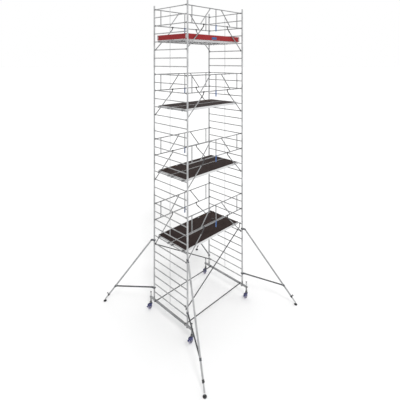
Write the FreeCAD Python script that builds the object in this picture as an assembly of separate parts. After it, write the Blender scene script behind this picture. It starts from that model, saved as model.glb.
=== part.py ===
import FreeCAD, Part
import math
import os

# Mobile tower scaffold: a bay of ladder end frames on castors, four decks, guardrails and four outriggers.
# Millimetres. +X runs along the long side, +Y along the end, +Z up. The origin lies on the floor under the
# middle of the tower. Left and right are the ends at -X and +X, front and rear the sides at -Y and +Y.

os.makedirs("parts", exist_ok=True)

Vector = FreeCAD.Vector
ALONG_X = Vector(1, 0, 0)
ALONG_Y = Vector(0, 1, 0)
ALONG_Z = Vector(0, 0, 1)

# Bay and storeys
BAY_LENGTH = 2500.0
BAY_WIDTH = 1500.0
LEVELS = 4
RUNG_PITCH = 250.0
FRAME_RUNGS = 8
TOP_FRAME_RUNGS = 4

# End frames
STILE_D = 50.0
STILE_WALL = 2.5
RUNG_D = 30.0
RUNG_WALL = 2.0
STRUT_D = 16.0
STRUT_WALL = 1.5
SPIGOT_LENGTH = 90.0
SPIGOT_CLEARANCE = 0.3
SPIGOT_END_GAP = 10.0

# Castors, from the floor up
WHEEL_D = 150.0
WHEEL_WIDTH = 45.0
TYRE_DEPTH = 17.0
HUB_D = 36.0
HUB_SIDE_GAP = 1.0
RIM_THICKNESS = 7.0
RIM_RECESS = 2.0
TYRE_SHOULDER = 8.0
WEB_WIDTH = 20.0
AXLE_D = 12.0
TRAIL = 35.0
FORK_GAP = 4.0
FORK_WALL = 4.0
FORK_FRONT = 38.0
FORK_BACK = 62.0
AXLE_EYE = 14.0
PEDAL_EYE = 12.0
PEDAL_EYE_DROP = 10.0
CROWN_GAP = 12.0
CROWN_WALL = 6.0
KINGPIN_D = 16.0
KINGPIN_HEAD = 7.0
KINGPIN_LIP = 5.0
BOLT_HEAD = 8.0
BOLT_HEAD_D = 20.0
PIN_HEAD = 3.0
HOUSING_D = 80.0
HOUSING_HEIGHT = 24.0
HOUSING_SHOULDER = 12.0
HOUSING_SLOPE = 8.0
NECK_HEIGHT = 16.5
NUT_D = 60.0
NUT_HEIGHT = 26.0
NUT_WING_REACH = 52.0
NUT_WING_THICKNESS = 10.0
NUT_WING_ROOT = 8.0
NUT_WING_STEP = 4.0
NUT_WING_CHAMFER = 3.0
NUT_WING_TIP = 12.0
NUT_WING_EDGE = 7.0
SWIVEL_GAP = 0.5
RUNNING_CLEARANCE = 0.1
OVERCUT = 1.0

# Spindles and base beams
SPINDLE_D = 38.0
SPINDLE_WALL = 4.5
SPINDLE_TRAVEL = 120.0
SPINDLE_STOP_GAP = 5.0
CAP_HEIGHT = 15.0
CAP_LIP = 3.0
SLEEVE_WALL = 4.5
SLEEVE_CLEARANCE = 0.3
SLEEVE_BELOW_BEAM = 94.5
SLEEVE_ABOVE_BEAM = 5.0
SPINDLE_OFFSET = 170.0
BEAM_SIZE = 50.0
BEAM_WALL = 3.0
BEAM_END = 30.0

# Brake pedal, around its pivot clear of the wheel's rear top quarter
PEDAL_CLEAR = 17.0
PEDAL_ANGLE = 47.64
PEDAL_LENGTH = 66.0
PEDAL_SLOPE = 35.0
PEDAL_TRAVEL = 22.0
PEDAL_BOSS_D = 16.0
PEDAL_PIN_D = 8.0
PEDAL_WIDTH = 44.0
PEDAL_THICKNESS = 6.0
TREAD_LENGTH = 22.0
TREAD_SIDE = 3.0
SHOE_THICKNESS = 6.0
SHOE_SIDE_GAP = 4.0
BRAKE_GAP = 0.6

# Hooks, guardrails and braces
HOOK_WALL = 7.0
HOOK_WIDTH = 22.0
HOOK_CLEARANCE = 0.2
HOOK_NECK = 60.0
BEAM_NECK = 100.0
HOOK_LIP_SHARE = 0.8
HOOK_SHOULDER_SHARE = 0.6
HOOK_STRAP_END = 12.0
RAIL_D = 30.0
RAIL_WALL = 2.0
RAIL_INSET = 50.0
BRACE_INSET = 90.0
POST_FROM_END = 220.0
DIAGONAL_TOP = 250.0
DIAGONAL_BOTTOM = 680.0
ELBOW_X = 540.0
ELBOW_RUN = 80.0
ELBOW_DROP = 140.0
KNEE_D = 32.0
ELBOW_D = 28.0
SADDLE_LENGTH = 60.0
SADDLE_WALL = 4.0
SADDLE_DEPTH = 12.0
PLATE_WIDTH = 50.0
PLATE_HEIGHT = 165.0
PLATE_THICKNESS = 4.0
FRONT_BRACE_DROP = 105.0

# Platforms, measured from the axis of the rung that carries them
DECK_END_GAP = 50.0
DECK_SIDE_GAP = 140.0
DECK_MIDDLE_GAP = 20.0
DECK_TOP = 40.0
BOARD_THICKNESS = 12.0
BOARD_GAP = 0.5
PROFILE_WALL = 5.0
PROFILE_LIP = 6.0
PROFILE_DEPTH = 66.0
PROFILE_LEDGE = 28.0
CROSS_TUBE = 30.0
CROSS_TUBES = 4
CROSS_WALL = 2.5
END_CAP = 4.0
DECK_HOOK_WIDTH = 40.0
DECK_HOOK_INSET = 75.0
HATCH_LENGTH = 620.0
HATCH_MARGIN = 70.0
HATCH_FROM_END = 110.0
HATCH_GAP = 3.0
HINGE_D = 12.0
HINGE_PIN_D = 6.0
HINGE_LEAF = 30.0
HINGE_LEAF_THICKNESS = 2.0
KNUCKLE_LENGTH = 60.0
KNUCKLE_GAP = 1.0
LEAF_ROOT = 1.0

# Toe boards on the highest platform
TOE_HEIGHT = 150.0
TOE_THICKNESS = 15.0
TOE_LIFT = 50.0
TOE_INSET = 85.0
TOE_END_INSET = 48.0
TOE_CORNER_GAP = 2.0

# Outriggers, in the upright plane through their stile
OUTRIGGER_TUBE_D = 48.0
OUTRIGGER_WALL = 3.0
OUTRIGGER_REACH = 1705.0
OUTRIGGER_SPLAY = 60.0
OUTRIGGER_START = 88.0
ARM_D = 40.0
ARM_WALL = 2.5
ARM_FROM_FOOT = 620.0
UPPER_COUPLER_RISE = 95.0
LOWER_COUPLER_RISE = 120.0
COUPLER_HEIGHT = 50.0
COUPLER_WALL = 8.0
COUPLER_CLEARANCE = 0.3
COUPLER_LUG = 32.0
PLUG_LENGTH = 45.0
PLUG_CLEARANCE = 0.2
PLUG_ROOT = 20.0
COLLAR_LENGTH = 60.0
COLLAR_WALL = 7.0
KNOB_FROM_FOOT = 200.0
KNOB_D = 56.0
KNOB_THICKNESS = 18.0
KNOB_STEM_D = 12.0
KNOB_STEM_LENGTH = 26.0
KNOB_STEM_ROOT = 1.0
LEG_CLEARANCE = 0.4
LEG_WALL = 2.5
LEG_LENGTH = 950.0
LEG_END = 34.0
LEG_HEAD = 6.0
EAR_ROOT = 5.0
FOOT_D = 96.0
FOOT_BASE = 18.0
FOOT_DOME = 38.0
FOOT_TOP_D = 44.0
FOOT_CHAMFER = 4.0
FOOT_PIVOT = 55.0
FOOT_PIN_D = 10.0
TONGUE_THICKNESS = 16.0
TONGUE_D = 24.0
EAR_THICKNESS = 5.0
EAR_GAP = 0.4

# Heights that follow from the sizes above
CROWN_BOTTOM = WHEEL_D + CROWN_GAP
HOUSING_BOTTOM = CROWN_BOTTOM + CROWN_WALL + SWIVEL_GAP
HOUSING_TOP = HOUSING_BOTTOM + HOUSING_HEIGHT
NUT_BOTTOM = HOUSING_TOP + NECK_HEIGHT
SLEEVE_BOTTOM = NUT_BOTTOM + NUT_HEIGHT + SWIVEL_GAP
BEAM_AXIS = SLEEVE_BOTTOM + SLEEVE_BELOW_BEAM + BEAM_SIZE / 2
SLEEVE_TOP = BEAM_AXIS + BEAM_SIZE / 2 + SLEEVE_ABOVE_BEAM
FRAME_BASE = BEAM_AXIS + BEAM_SIZE / 2 + SPIGOT_END_GAP + SPIGOT_LENGTH
FRAME_HEIGHT = FRAME_RUNGS * RUNG_PITCH
END_X = BAY_LENGTH / 2
STILE_Y = BAY_WIDTH / 2
SPINDLE_Y = STILE_Y + SPINDLE_OFFSET
CORNERS = {"left_front": (-1, -1), "right_front": (1, -1), "right_rear": (1, 1), "left_rear": (-1, 1)}


def rung_height(number):
    """Height of a rung's axis, counting from 1 at the bottom of the tower."""
    return FRAME_BASE + (number - 0.5) * RUNG_PITCH


def deck_rung(level):
    """Height of the rung that carries the platform of a level."""
    return rung_height(level * FRAME_RUNGS)


def rod(start, end, diameter):
    """Solid round bar between two points."""
    run = end - start
    return Part.makeCylinder(diameter / 2, run.Length, start, run)


def tube(start, end, diameter, wall):
    """Round tube between two points."""
    return rod(start, end, diameter).cut(rod(start, end, diameter - 2 * wall))


def box(low, high):
    """Upright box between two corners."""
    size = Vector(*high) - Vector(*low)
    return Part.makeBox(size.x, size.y, size.z, Vector(*low))


def box_tube(low, high, wall, axis):
    """Square tube between two corners, open at both ends along one axis."""
    inner_low = [a if i == axis else a + wall for i, a in enumerate(low)]
    inner_high = [a if i == axis else a - wall for i, a in enumerate(high)]
    return box(low, high).cut(box(inner_low, inner_high))


def side_plate(outline, start, thickness):
    """Plate cut from an outline in X and Z, from Y = start."""
    corners = [Vector(x, start, z) for x, z in outline]
    face = Part.Face(Part.makePolygon(corners + corners[:1]))
    return face.extrude(Vector(0, thickness, 0))


def turned(outline):
    """Solid turned about the Z axis from an outline in radius and height."""
    corners = [Vector(radius, 0, height) for radius, height in outline]
    face = Part.Face(Part.makePolygon(corners + corners[:1]))
    return face.revolve(Vector(0, 0, 0), ALONG_Z, 360)


def moved(shapes, offset):
    """Copies of some shapes, shifted."""
    copies = [shape.copy() for shape in shapes]
    for shape in copies:
        shape.translate(Vector(*offset))
    return copies


def spun(shapes, angle, axis=ALONG_Z):
    """Copies of some shapes, turned about an axis through the origin."""
    copies = [shape.copy() for shape in shapes]
    for shape in copies:
        shape.rotate(Vector(0, 0, 0), axis, angle)
    return copies


def mirrored(shapes, normal):
    """Copies of some shapes, mirrored in a plane through the origin."""
    return [shape.mirror(Vector(0, 0, 0), normal) for shape in shapes]


def both_sides(shapes, normal):
    """Some shapes with their mirror images."""
    return shapes + mirrored(shapes, normal)


def save(name, shapes):
    """Write one sub-part as the group of its solids."""
    Part.makeCompound(shapes).exportStep("parts/" + name + ".step")


# End frames: two stiles with a swaged spigot at the foot, welded rungs and a thin strut in the middle


def end_frame(rungs):
    """One ladder frame in the plane X = 0, with its foot at Z = 0."""
    outer = STILE_D / 2
    bore = outer - STILE_WALL
    spigot = bore - SPIGOT_CLEARANCE
    throat = spigot - STILE_WALL
    height = rungs * RUNG_PITCH
    stile = turned(
        [
            (throat, -SPIGOT_LENGTH),
            (spigot, -SPIGOT_LENGTH),
            (spigot, 0),
            (outer, 0),
            (outer, height),
            (bore, height),
            (bore, STILE_WALL),
            (throat, STILE_WALL),
        ]
    )
    stiles = moved([stile], (0, STILE_Y, 0)) + moved([stile], (0, -STILE_Y, 0))
    rung = tube(Vector(0, -STILE_Y, 0), Vector(0, STILE_Y, 0), RUNG_D, RUNG_WALL)
    for side in (-1, 1):
        rung = rung.cut(rod(Vector(0, side * STILE_Y, -RUNG_D), Vector(0, side * STILE_Y, RUNG_D), STILE_D))
    strut = tube(Vector(0, 0, 0), Vector(0, 0, RUNG_PITCH), STRUT_D, STRUT_WALL)
    for height in (0, RUNG_PITCH):
        strut = strut.cut(rod(Vector(0, -RUNG_D, height), Vector(0, RUNG_D, height), RUNG_D))
    frame = list(stiles)
    for number in range(rungs):
        frame += moved([rung], (0, 0, (number + 0.5) * RUNG_PITCH))
    for number in range(rungs - 1):
        frame += moved([strut], (0, 0, (number + 0.5) * RUNG_PITCH))
    return frame


storey_frame = end_frame(FRAME_RUNGS)
for level in range(LEVELS):
    for side, x in (("left", -END_X), ("right", END_X)):
        foot = FRAME_BASE + level * FRAME_HEIGHT
        save("end_frame_" + side + "_" + str(level + 1), moved(storey_frame, (x, 0, foot)))

top_frame = moved(end_frame(TOP_FRAME_RUNGS), (END_X, 0, FRAME_BASE + LEVELS * FRAME_HEIGHT))
save("top_frames", both_sides(top_frame, ALONG_X))


# Base beams: a square tube across each end, a stub post under each stile, a sleeve for each spindle

SLEEVE_BORE = SPINDLE_D + 2 * SLEEVE_CLEARANCE
SLEEVE_D = SLEEVE_BORE + 2 * SLEEVE_WALL


def base_beam():
    """Beam across one end with its axis at X = 0, at its height above the floor."""
    half = BEAM_SIZE / 2
    end = SPINDLE_Y + BEAM_END
    beam = box_tube((-half, -end, BEAM_AXIS - half), (half, end, BEAM_AXIS + half), BEAM_WALL, 1)
    pieces = []
    for y in (-SPINDLE_Y, SPINDLE_Y):
        bottom = Vector(0, y, SLEEVE_BOTTOM)
        top = Vector(0, y, SLEEVE_TOP)
        beam = beam.cut(rod(bottom, top, SLEEVE_D))
        pieces.append(rod(bottom, top, SLEEVE_D).cut(rod(bottom, top, SLEEVE_BORE)))
    for y in (-STILE_Y, STILE_Y):
        pieces.append(tube(Vector(0, y, BEAM_AXIS + half), Vector(0, y, FRAME_BASE), STILE_D, STILE_WALL))
    return [beam] + pieces


save("base_beams", both_sides(moved(base_beam(), (END_X, 0, 0)), ALONG_X))


# Castors: adjusting nut, spindle with bearing housing and kingpin, fork, wheel and brake pedal

SPINDLE_TOP = SLEEVE_TOP + SPINDLE_TRAVEL + SPINDLE_STOP_GAP
FORK_INNER = WHEEL_WIDTH / 2 + FORK_GAP
FORK_OUTER = FORK_INNER + FORK_WALL
AXLE_HEIGHT = WHEEL_D / 2
PEDAL_ORBIT = WHEEL_D / 2 + PEDAL_CLEAR
PEDAL_X = -TRAIL - PEDAL_ORBIT * math.cos(math.radians(PEDAL_ANGLE))
PEDAL_Z = AXLE_HEIGHT + PEDAL_ORBIT * math.sin(math.radians(PEDAL_ANGLE))


def castor_nut():
    """Wing nut under the sleeve, which carries the beam on the spindle."""
    outer = NUT_D / 2
    ring = rod(Vector(0, 0, NUT_BOTTOM), Vector(0, 0, NUT_BOTTOM + NUT_HEIGHT), NUT_D)
    wing = side_plate(
        [
            (outer - NUT_WING_ROOT, NUT_BOTTOM),
            (outer + NUT_WING_STEP, NUT_BOTTOM + NUT_WING_CHAMFER),
            (NUT_WING_REACH, NUT_BOTTOM + NUT_HEIGHT - NUT_WING_EDGE),
            (NUT_WING_REACH - NUT_WING_CHAMFER, NUT_BOTTOM + NUT_HEIGHT),
            (NUT_WING_REACH - NUT_WING_TIP, NUT_BOTTOM + NUT_HEIGHT),
            (outer - NUT_WING_ROOT, NUT_BOTTOM + NUT_HEIGHT / 2),
        ],
        -NUT_WING_THICKNESS / 2,
        NUT_WING_THICKNESS,
    )
    for part in both_sides([wing], ALONG_X):
        ring = ring.fuse(part)
    bore = SPINDLE_D + 2 * RUNNING_CLEARANCE
    return [ring.cut(rod(Vector(0, 0, NUT_BOTTOM - OVERCUT), Vector(0, 0, SLEEVE_BOTTOM), bore))]


def castor_spindle():
    """Spindle tube with its cap, standing on the bearing housing that holds the kingpin."""
    spindle = tube(Vector(0, 0, HOUSING_TOP), Vector(0, 0, SPINDLE_TOP), SPINDLE_D, SPINDLE_WALL)
    cap = rod(Vector(0, 0, SPINDLE_TOP), Vector(0, 0, SPINDLE_TOP + CAP_HEIGHT), SPINDLE_D + 2 * CAP_LIP)
    head_top = CROWN_BOTTOM - SWIVEL_GAP
    housing = turned(
        [
            (0, head_top - KINGPIN_HEAD),
            (KINGPIN_D / 2 + KINGPIN_LIP, head_top - KINGPIN_HEAD),
            (KINGPIN_D / 2 + KINGPIN_LIP, head_top),
            (KINGPIN_D / 2, head_top),
            (KINGPIN_D / 2, HOUSING_BOTTOM),
            (HOUSING_D / 2, HOUSING_BOTTOM),
            (HOUSING_D / 2, HOUSING_TOP - HOUSING_SLOPE),
            (HOUSING_D / 2 - HOUSING_SHOULDER, HOUSING_TOP),
            (0, HOUSING_TOP),
        ]
    )
    return [spindle, cap, housing]


def castor_fork():
    """Bent plate fork with its axle bolt and the pin of the brake pedal."""
    back = PEDAL_X - PEDAL_EYE
    leg = side_plate(
        [
            (FORK_FRONT, CROWN_BOTTOM + CROWN_WALL),
            (back, CROWN_BOTTOM + CROWN_WALL),
            (back, PEDAL_Z - PEDAL_EYE_DROP),
            (-TRAIL - AXLE_EYE, AXLE_HEIGHT - AXLE_EYE),
            (-TRAIL + AXLE_EYE, AXLE_HEIGHT - AXLE_EYE),
            (FORK_FRONT, CROWN_BOTTOM - CROWN_GAP),
        ],
        FORK_INNER,
        FORK_WALL,
    )
    crown_top = CROWN_BOTTOM + CROWN_WALL
    crown = box((-FORK_BACK, -FORK_INNER, CROWN_BOTTOM), (FORK_FRONT, FORK_INNER, crown_top))
    fork = crown.fuse(leg).fuse(mirrored([leg], ALONG_Y)[0]).removeSplitter()
    swivel_hole = KINGPIN_D + 2 * RUNNING_CLEARANCE
    fork = fork.cut(rod(Vector(0, 0, CROWN_BOTTOM - OVERCUT), Vector(0, 0, HOUSING_BOTTOM), swivel_hole))
    bolt_end = Vector(0, FORK_OUTER + BOLT_HEAD, 0)
    pin_end = Vector(0, FORK_OUTER + PIN_HEAD, 0)
    axle_centre = Vector(-TRAIL, 0, AXLE_HEIGHT)
    pin_centre = Vector(PEDAL_X, 0, PEDAL_Z)
    bolt = rod(axle_centre - bolt_end, axle_centre + bolt_end, AXLE_D)
    pin = rod(pin_centre - pin_end, pin_centre + pin_end, PEDAL_PIN_D)
    fork = fork.cut(bolt).cut(pin)
    heads = []
    for side in (-1, 1):
        start = Vector(-TRAIL, side * FORK_OUTER, AXLE_HEIGHT)
        heads.append(rod(start, start + Vector(0, side * BOLT_HEAD, 0), BOLT_HEAD_D).cut(bolt))
    return [fork, bolt, pin] + heads


def castor_wheel():
    """Wheel on its axle: hub with boss, web and rim, and the tyre around it."""
    bore = AXLE_D / 2 + RUNNING_CLEARANCE
    rim = WHEEL_D / 2 - TYRE_DEPTH
    boss_half = FORK_INNER - HUB_SIDE_GAP
    half = WHEEL_WIDTH / 2
    shoulder = half - TYRE_SHOULDER
    seat = rim - RIM_THICKNESS
    crown = WHEEL_D / 2 - RIM_THICKNESS
    hub = turned(
        [
            (bore, -boss_half),
            (HUB_D / 2, -boss_half),
            (HUB_D / 2, -WEB_WIDTH / 2),
            (seat, -WEB_WIDTH / 2),
            (seat, -half + RIM_RECESS),
            (rim, -half + RIM_RECESS),
            (rim, half - RIM_RECESS),
            (seat, half - RIM_RECESS),
            (seat, WEB_WIDTH / 2),
            (HUB_D / 2, WEB_WIDTH / 2),
            (HUB_D / 2, boss_half),
            (bore, boss_half),
        ]
    )
    tyre = turned(
        [
            (rim, -half),
            (crown, -half),
            (WHEEL_D / 2, -shoulder),
            (WHEEL_D / 2, shoulder),
            (crown, half),
            (rim, half),
        ]
    )
    return moved(spun([hub, tyre], 90, ALONG_X), (-TRAIL, 0, AXLE_HEIGHT))


def brake_pedal():
    """Foot lever on its pin, with the brake shoe that comes down on the tyre."""
    half = PEDAL_WIDTH / 2
    boss = rod(Vector(0, -half, 0), Vector(0, half, 0), PEDAL_BOSS_D)
    arm = box((0, -half, -PEDAL_THICKNESS / 2), (PEDAL_LENGTH, half, PEDAL_THICKNESS / 2))
    wide = half + TREAD_SIDE
    tread = box((PEDAL_LENGTH - TREAD_LENGTH, -wide, -PEDAL_THICKNESS), (PEDAL_LENGTH, wide, 0))
    lever = spun([arm.fuse(tread)], -(180 + PEDAL_SLOPE), ALONG_Y)[0]
    toward_x = -TRAIL - PEDAL_X
    toward_z = AXLE_HEIGHT - PEDAL_Z
    reach = math.hypot(toward_x, toward_z) - WHEEL_D / 2 - BRAKE_GAP
    shoe_angle = math.degrees(math.atan2(toward_z, toward_x)) - PEDAL_TRAVEL
    narrow = half - SHOE_SIDE_GAP
    shoe = box((0, -narrow, -SHOE_THICKNESS / 2), (reach, narrow, SHOE_THICKNESS / 2))
    shoe = spun([shoe], -shoe_angle, ALONG_Y)[0]
    pedal = boss.fuse(lever).fuse(shoe)
    pin = PEDAL_PIN_D + 2 * RUNNING_CLEARANCE
    pedal = pedal.cut(rod(Vector(0, -wide - OVERCUT, 0), Vector(0, wide + OVERCUT, 0), pin))
    return moved([pedal], (PEDAL_X, 0, PEDAL_Z))


castor_parts = {
    "castor_nut_": castor_nut(),
    "castor_spindle_": castor_spindle(),
    "castor_fork_": castor_fork(),
    "castor_wheel_": castor_wheel(),
    "brake_pedal_": brake_pedal(),
}
for corner, (x_sign, y_sign) in CORNERS.items():
    for name, shapes in castor_parts.items():
        save(name + corner, moved(shapes, (x_sign * END_X, y_sign * SPINDLE_Y, 0)))


# Hooks: cast claws that drop over a rung or a beam


def hook(bar, width, round_bar=True):
    """Claw over a bar along Y at the origin, open below, with its bay side towards -X."""
    grip = bar / 2 + HOOK_CLEARANCE
    back = grip + HOOK_WALL
    lip = HOOK_LIP_SHARE * grip
    shoulder = HOOK_SHOULDER_SHARE * back
    outline = [
        (-back, -lip),
        (-back, shoulder),
        (-shoulder, back),
        (shoulder, back),
        (back, shoulder),
        (back, -lip),
    ]
    body = side_plate(outline, -width / 2, width)
    return body, hook_space(bar, width, round_bar)


def hook_space(bar, width, round_bar):
    """The room for the bar inside a claw, with the mouth below it."""
    grip = bar / 2 + HOOK_CLEARANCE
    mouth_top = 0 if round_bar else grip
    space = box((-grip, -width, -bar), (grip, width, mouth_top))
    if round_bar:
        space = space.fuse(rod(Vector(0, -width, 0), Vector(0, width, 0), 2 * grip))
    return space


def neck_hook(bar, diameter, slope, reach, drop=0.0, round_bar=True):
    """Claw whose round neck leaves at a slope towards -X; the tube goes on from the reach."""
    body, space = hook(bar, HOOK_WIDTH, round_bar)
    grip = bar / 2 + HOOK_CLEARANCE
    along = Vector(-math.cos(math.radians(slope)), 0, math.sin(math.radians(slope)))
    root = Vector(0, 0, 0)
    if drop:
        root = Vector(-grip - HOOK_WALL, 0, -drop)
        strap_low = (-grip - 2 * HOOK_WALL, -HOOK_WIDTH / 2, -drop - HOOK_STRAP_END)
        strap = box(strap_low, (-grip, HOOK_WIDTH / 2, 0))
        body = body.fuse(strap)
    neck = rod(root, root + along * reach, diameter)
    return body.fuse(neck).cut(space), root + along * reach


# Guardrails: a frame hooked on the rungs of both end frames, with a knee brace at each end

RAIL_Y = STILE_Y - RAIL_INSET


def guardrail():
    """One guardrail in the plane Y = 0, its heights counted from the rung that carries the deck."""
    mid = 2 * RUNG_PITCH
    top = 4 * RUNG_PITCH
    post_x = END_X - POST_FROM_END
    rail_end = END_X - HOOK_NECK
    rails = {}
    for height in (mid, top):
        rails[height] = rod(Vector(-rail_end, 0, height), Vector(rail_end, 0, height), RAIL_D)
    solids = []
    for height in rails:
        solids.append(tube(Vector(-rail_end, 0, height), Vector(rail_end, 0, height), RAIL_D, RAIL_WALL))
    half = []
    for height in (mid, top):
        claw, _ = neck_hook(RUNG_D, RAIL_D, 0, HOOK_NECK)
        half += moved([claw], (END_X, 0, height))
    half.append(tube(Vector(post_x, 0, mid), Vector(post_x, 0, top), RAIL_D, RAIL_WALL))
    half.append(tube(Vector(DIAGONAL_BOTTOM, 0, mid), Vector(DIAGONAL_TOP, 0, top), RAIL_D, RAIL_WALL))
    knee = Vector(ELBOW_X + ELBOW_RUN, 0, mid - ELBOW_DROP)
    slope = math.degrees(math.atan2(knee.z + RUNG_PITCH, END_X - knee.x))
    claw, reach = neck_hook(RUNG_D, RAIL_D, slope, HOOK_NECK)
    foot = Vector(END_X, 0, -RUNG_PITCH)
    half += moved([claw], foot)
    start = foot + reach
    step = (start - knee).normalize()
    half.append(tube(knee + step * KNEE_D / 2, start, RAIL_D, RAIL_WALL))
    saddle = box(
        (ELBOW_X - SADDLE_LENGTH / 2, -RAIL_D / 2 - SADDLE_WALL, mid - RAIL_D / 2 - SADDLE_DEPTH),
        (ELBOW_X + SADDLE_LENGTH / 2, RAIL_D / 2 + SADDLE_WALL, mid + SADDLE_WALL),
    )
    ball = Part.makeSphere(KNEE_D / 2, knee)
    ball = ball.cut(rod(knee + step * KNEE_D / 2, knee + step * KNEE_D, 2 * KNEE_D))
    elbow = saddle.fuse(rod(Vector(ELBOW_X, 0, mid - RAIL_D / 2), knee, ELBOW_D)).fuse(ball)
    half.append(elbow)
    solids += both_sides([trim_to_rails(shape, rails) for shape in half], ALONG_X)
    solids.append(trim_to_rails(tube(Vector(0, 0, mid), Vector(0, 0, top), RAIL_D, RAIL_WALL), rails))
    plate = box(
        (-PLATE_WIDTH / 2, -PLATE_THICKNESS / 2, mid - RAIL_D / 2 - PLATE_HEIGHT),
        (PLATE_WIDTH / 2, PLATE_THICKNESS / 2, mid - RAIL_D / 2),
    )
    solids.append(plate)
    return solids


def trim_to_rails(shape, rails):
    """The shape without what the two rails take up."""
    for rail in rails.values():
        shape = shape.cut(rail)
    return shape


rail_pair = both_sides(moved(guardrail(), (0, RAIL_Y, 0)), ALONG_Y)
for level in range(1, LEVELS + 1):
    save("guardrails_" + str(level), moved(rail_pair, (0, 0, deck_rung(level))))


# Base braces: a level strut and a diagonal on each long side of the lowest storey

BRACE_Y = STILE_Y - BRACE_INSET


def level_strut():
    """Strut along X at the origin's height, hooked over both base beams."""
    claw, reach = neck_hook(BEAM_SIZE, RAIL_D, 0, BEAM_NECK, round_bar=False)
    inner = END_X + reach.x
    bar = tube(Vector(-inner, 0, 0), Vector(inner, 0, 0), RAIL_D, RAIL_WALL)
    return [bar] + both_sides(moved([claw], (END_X, 0, 0)), ALONG_X)


def diagonal(low, high, drop):
    """Brace rising towards +X between two rungs, hung by the drop below them."""
    inset = RUNG_D / 2 + HOOK_CLEARANCE + HOOK_WALL if drop else 0.0
    slope = math.degrees(math.atan2(high - low, BAY_LENGTH - 2 * inset))
    upper, upper_end = neck_hook(RUNG_D, RAIL_D, -slope, HOOK_NECK, drop)
    lower, lower_end = neck_hook(RUNG_D, RAIL_D, slope, HOOK_NECK, drop)
    upper_end = upper_end + Vector(END_X, 0, high)
    lower_end = Vector(-lower_end.x - END_X, 0, lower_end.z + low)
    bar = tube(lower_end, upper_end, RAIL_D, RAIL_WALL)
    claws = moved([upper], (END_X, 0, high)) + moved(mirrored([lower], ALONG_X), (-END_X, 0, low))
    return [bar] + claws


front_diagonal = diagonal(rung_height(2), rung_height(8), FRONT_BRACE_DROP)
rear_diagonal = mirrored(diagonal(rung_height(1), rung_height(7), 0.0), ALONG_X)
braces = moved(front_diagonal, (0, -BRACE_Y, 0)) + moved(rear_diagonal, (0, BRACE_Y, 0))
for y in (-BRACE_Y, BRACE_Y):
    braces += moved(level_strut(), (0, y, BEAM_AXIS))
save("base_braces", braces)


# Platforms: two decks side by side, each a profile frame with hooks and a board; the rear board has a hatch

DECK_END = END_X - DECK_END_GAP
DECK_WIDTH = STILE_Y - DECK_SIDE_GAP - DECK_MIDDLE_GAP / 2
DECK_CENTRE = DECK_MIDDLE_GAP / 2 + DECK_WIDTH / 2
BOARD_BOTTOM = DECK_TOP - BOARD_THICKNESS
PROFILE_TOP = DECK_TOP + PROFILE_LIP
PROFILE_BOTTOM = PROFILE_TOP - PROFILE_DEPTH
HATCH_CENTRE = DECK_END - HATCH_FROM_END - HATCH_LENGTH / 2
HATCH_WIDTH = DECK_WIDTH - 2 * HATCH_MARGIN
HINGE_Y = HATCH_WIDTH / 2
HINGE_Z = DECK_TOP + HINGE_D / 2


def side_profile():
    """Edge profile along X with its outer face at Y = 0 and its ledge towards -Y."""
    outline = [
        (0, PROFILE_BOTTOM),
        (0, PROFILE_TOP),
        (-PROFILE_WALL, PROFILE_TOP),
        (-PROFILE_WALL, BOARD_BOTTOM),
        (-PROFILE_LEDGE, BOARD_BOTTOM),
        (-PROFILE_LEDGE, BOARD_BOTTOM - PROFILE_WALL),
        (-PROFILE_WALL, BOARD_BOTTOM - PROFILE_WALL),
        (-PROFILE_WALL, PROFILE_BOTTOM + PROFILE_WALL),
        (-PROFILE_LEDGE, PROFILE_BOTTOM + PROFILE_WALL),
        (-PROFILE_LEDGE, PROFILE_BOTTOM),
    ]
    corners = [Vector(-DECK_END, y, z) for y, z in outline]
    face = Part.Face(Part.makePolygon(corners + corners[:1]))
    return face.extrude(Vector(2 * DECK_END, 0, 0))


def deck_frame(cross_tubes):
    """Profiles, end bars, cross tubes at given places and hooks of one deck, centred on the origin."""
    half = DECK_WIDTH / 2
    profile = moved([side_profile()], (0, half, 0))
    solids = both_sides(profile, ALONG_Y)
    inner = half - PROFILE_WALL
    tube_top = BOARD_BOTTOM - PROFILE_WALL
    ledge = half - PROFILE_LEDGE
    bar_low = (DECK_END - CROSS_TUBE, -ledge, tube_top - CROSS_TUBE)
    end_bar = box_tube(bar_low, (DECK_END, ledge, tube_top), CROSS_WALL, 1)
    end_cap = box((DECK_END - END_CAP, -inner, BOARD_BOTTOM), (DECK_END, inner, PROFILE_TOP))
    ends = [end_bar, end_cap]
    for y in (-half + DECK_HOOK_INSET, half - DECK_HOOK_INSET):
        body, space = hook(RUNG_D, DECK_HOOK_WIDTH)
        grip = RUNG_D / 2 + HOOK_CLEARANCE
        shank = box((-DECK_END_GAP, -DECK_HOOK_WIDTH / 2, -grip), (0, DECK_HOOK_WIDTH / 2, grip))
        ends += moved([body.fuse(shank).cut(space)], (END_X, y, 0))
    solids += both_sides(ends, ALONG_X)
    for x in cross_tubes:
        low = (x - CROSS_TUBE / 2, -ledge, tube_top - CROSS_TUBE)
        solids.append(box_tube(low, (x + CROSS_TUBE / 2, ledge, tube_top), CROSS_WALL, 1))
    return solids


def board():
    """Plywood board of one deck, centred on the origin, laid on the ledges."""
    x = DECK_END - END_CAP - BOARD_GAP
    y = DECK_WIDTH / 2 - PROFILE_WALL - BOARD_GAP
    return box((-x, -y, BOARD_BOTTOM), (x, y, DECK_TOP))


def hatch_hole():
    """The room that the hatch takes out of the board."""
    x = HATCH_LENGTH / 2
    y = HATCH_WIDTH / 2
    low = (HATCH_CENTRE - x, -y, BOARD_BOTTOM - OVERCUT)
    return box(low, (HATCH_CENTRE + x, y, DECK_TOP + OVERCUT))


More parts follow.
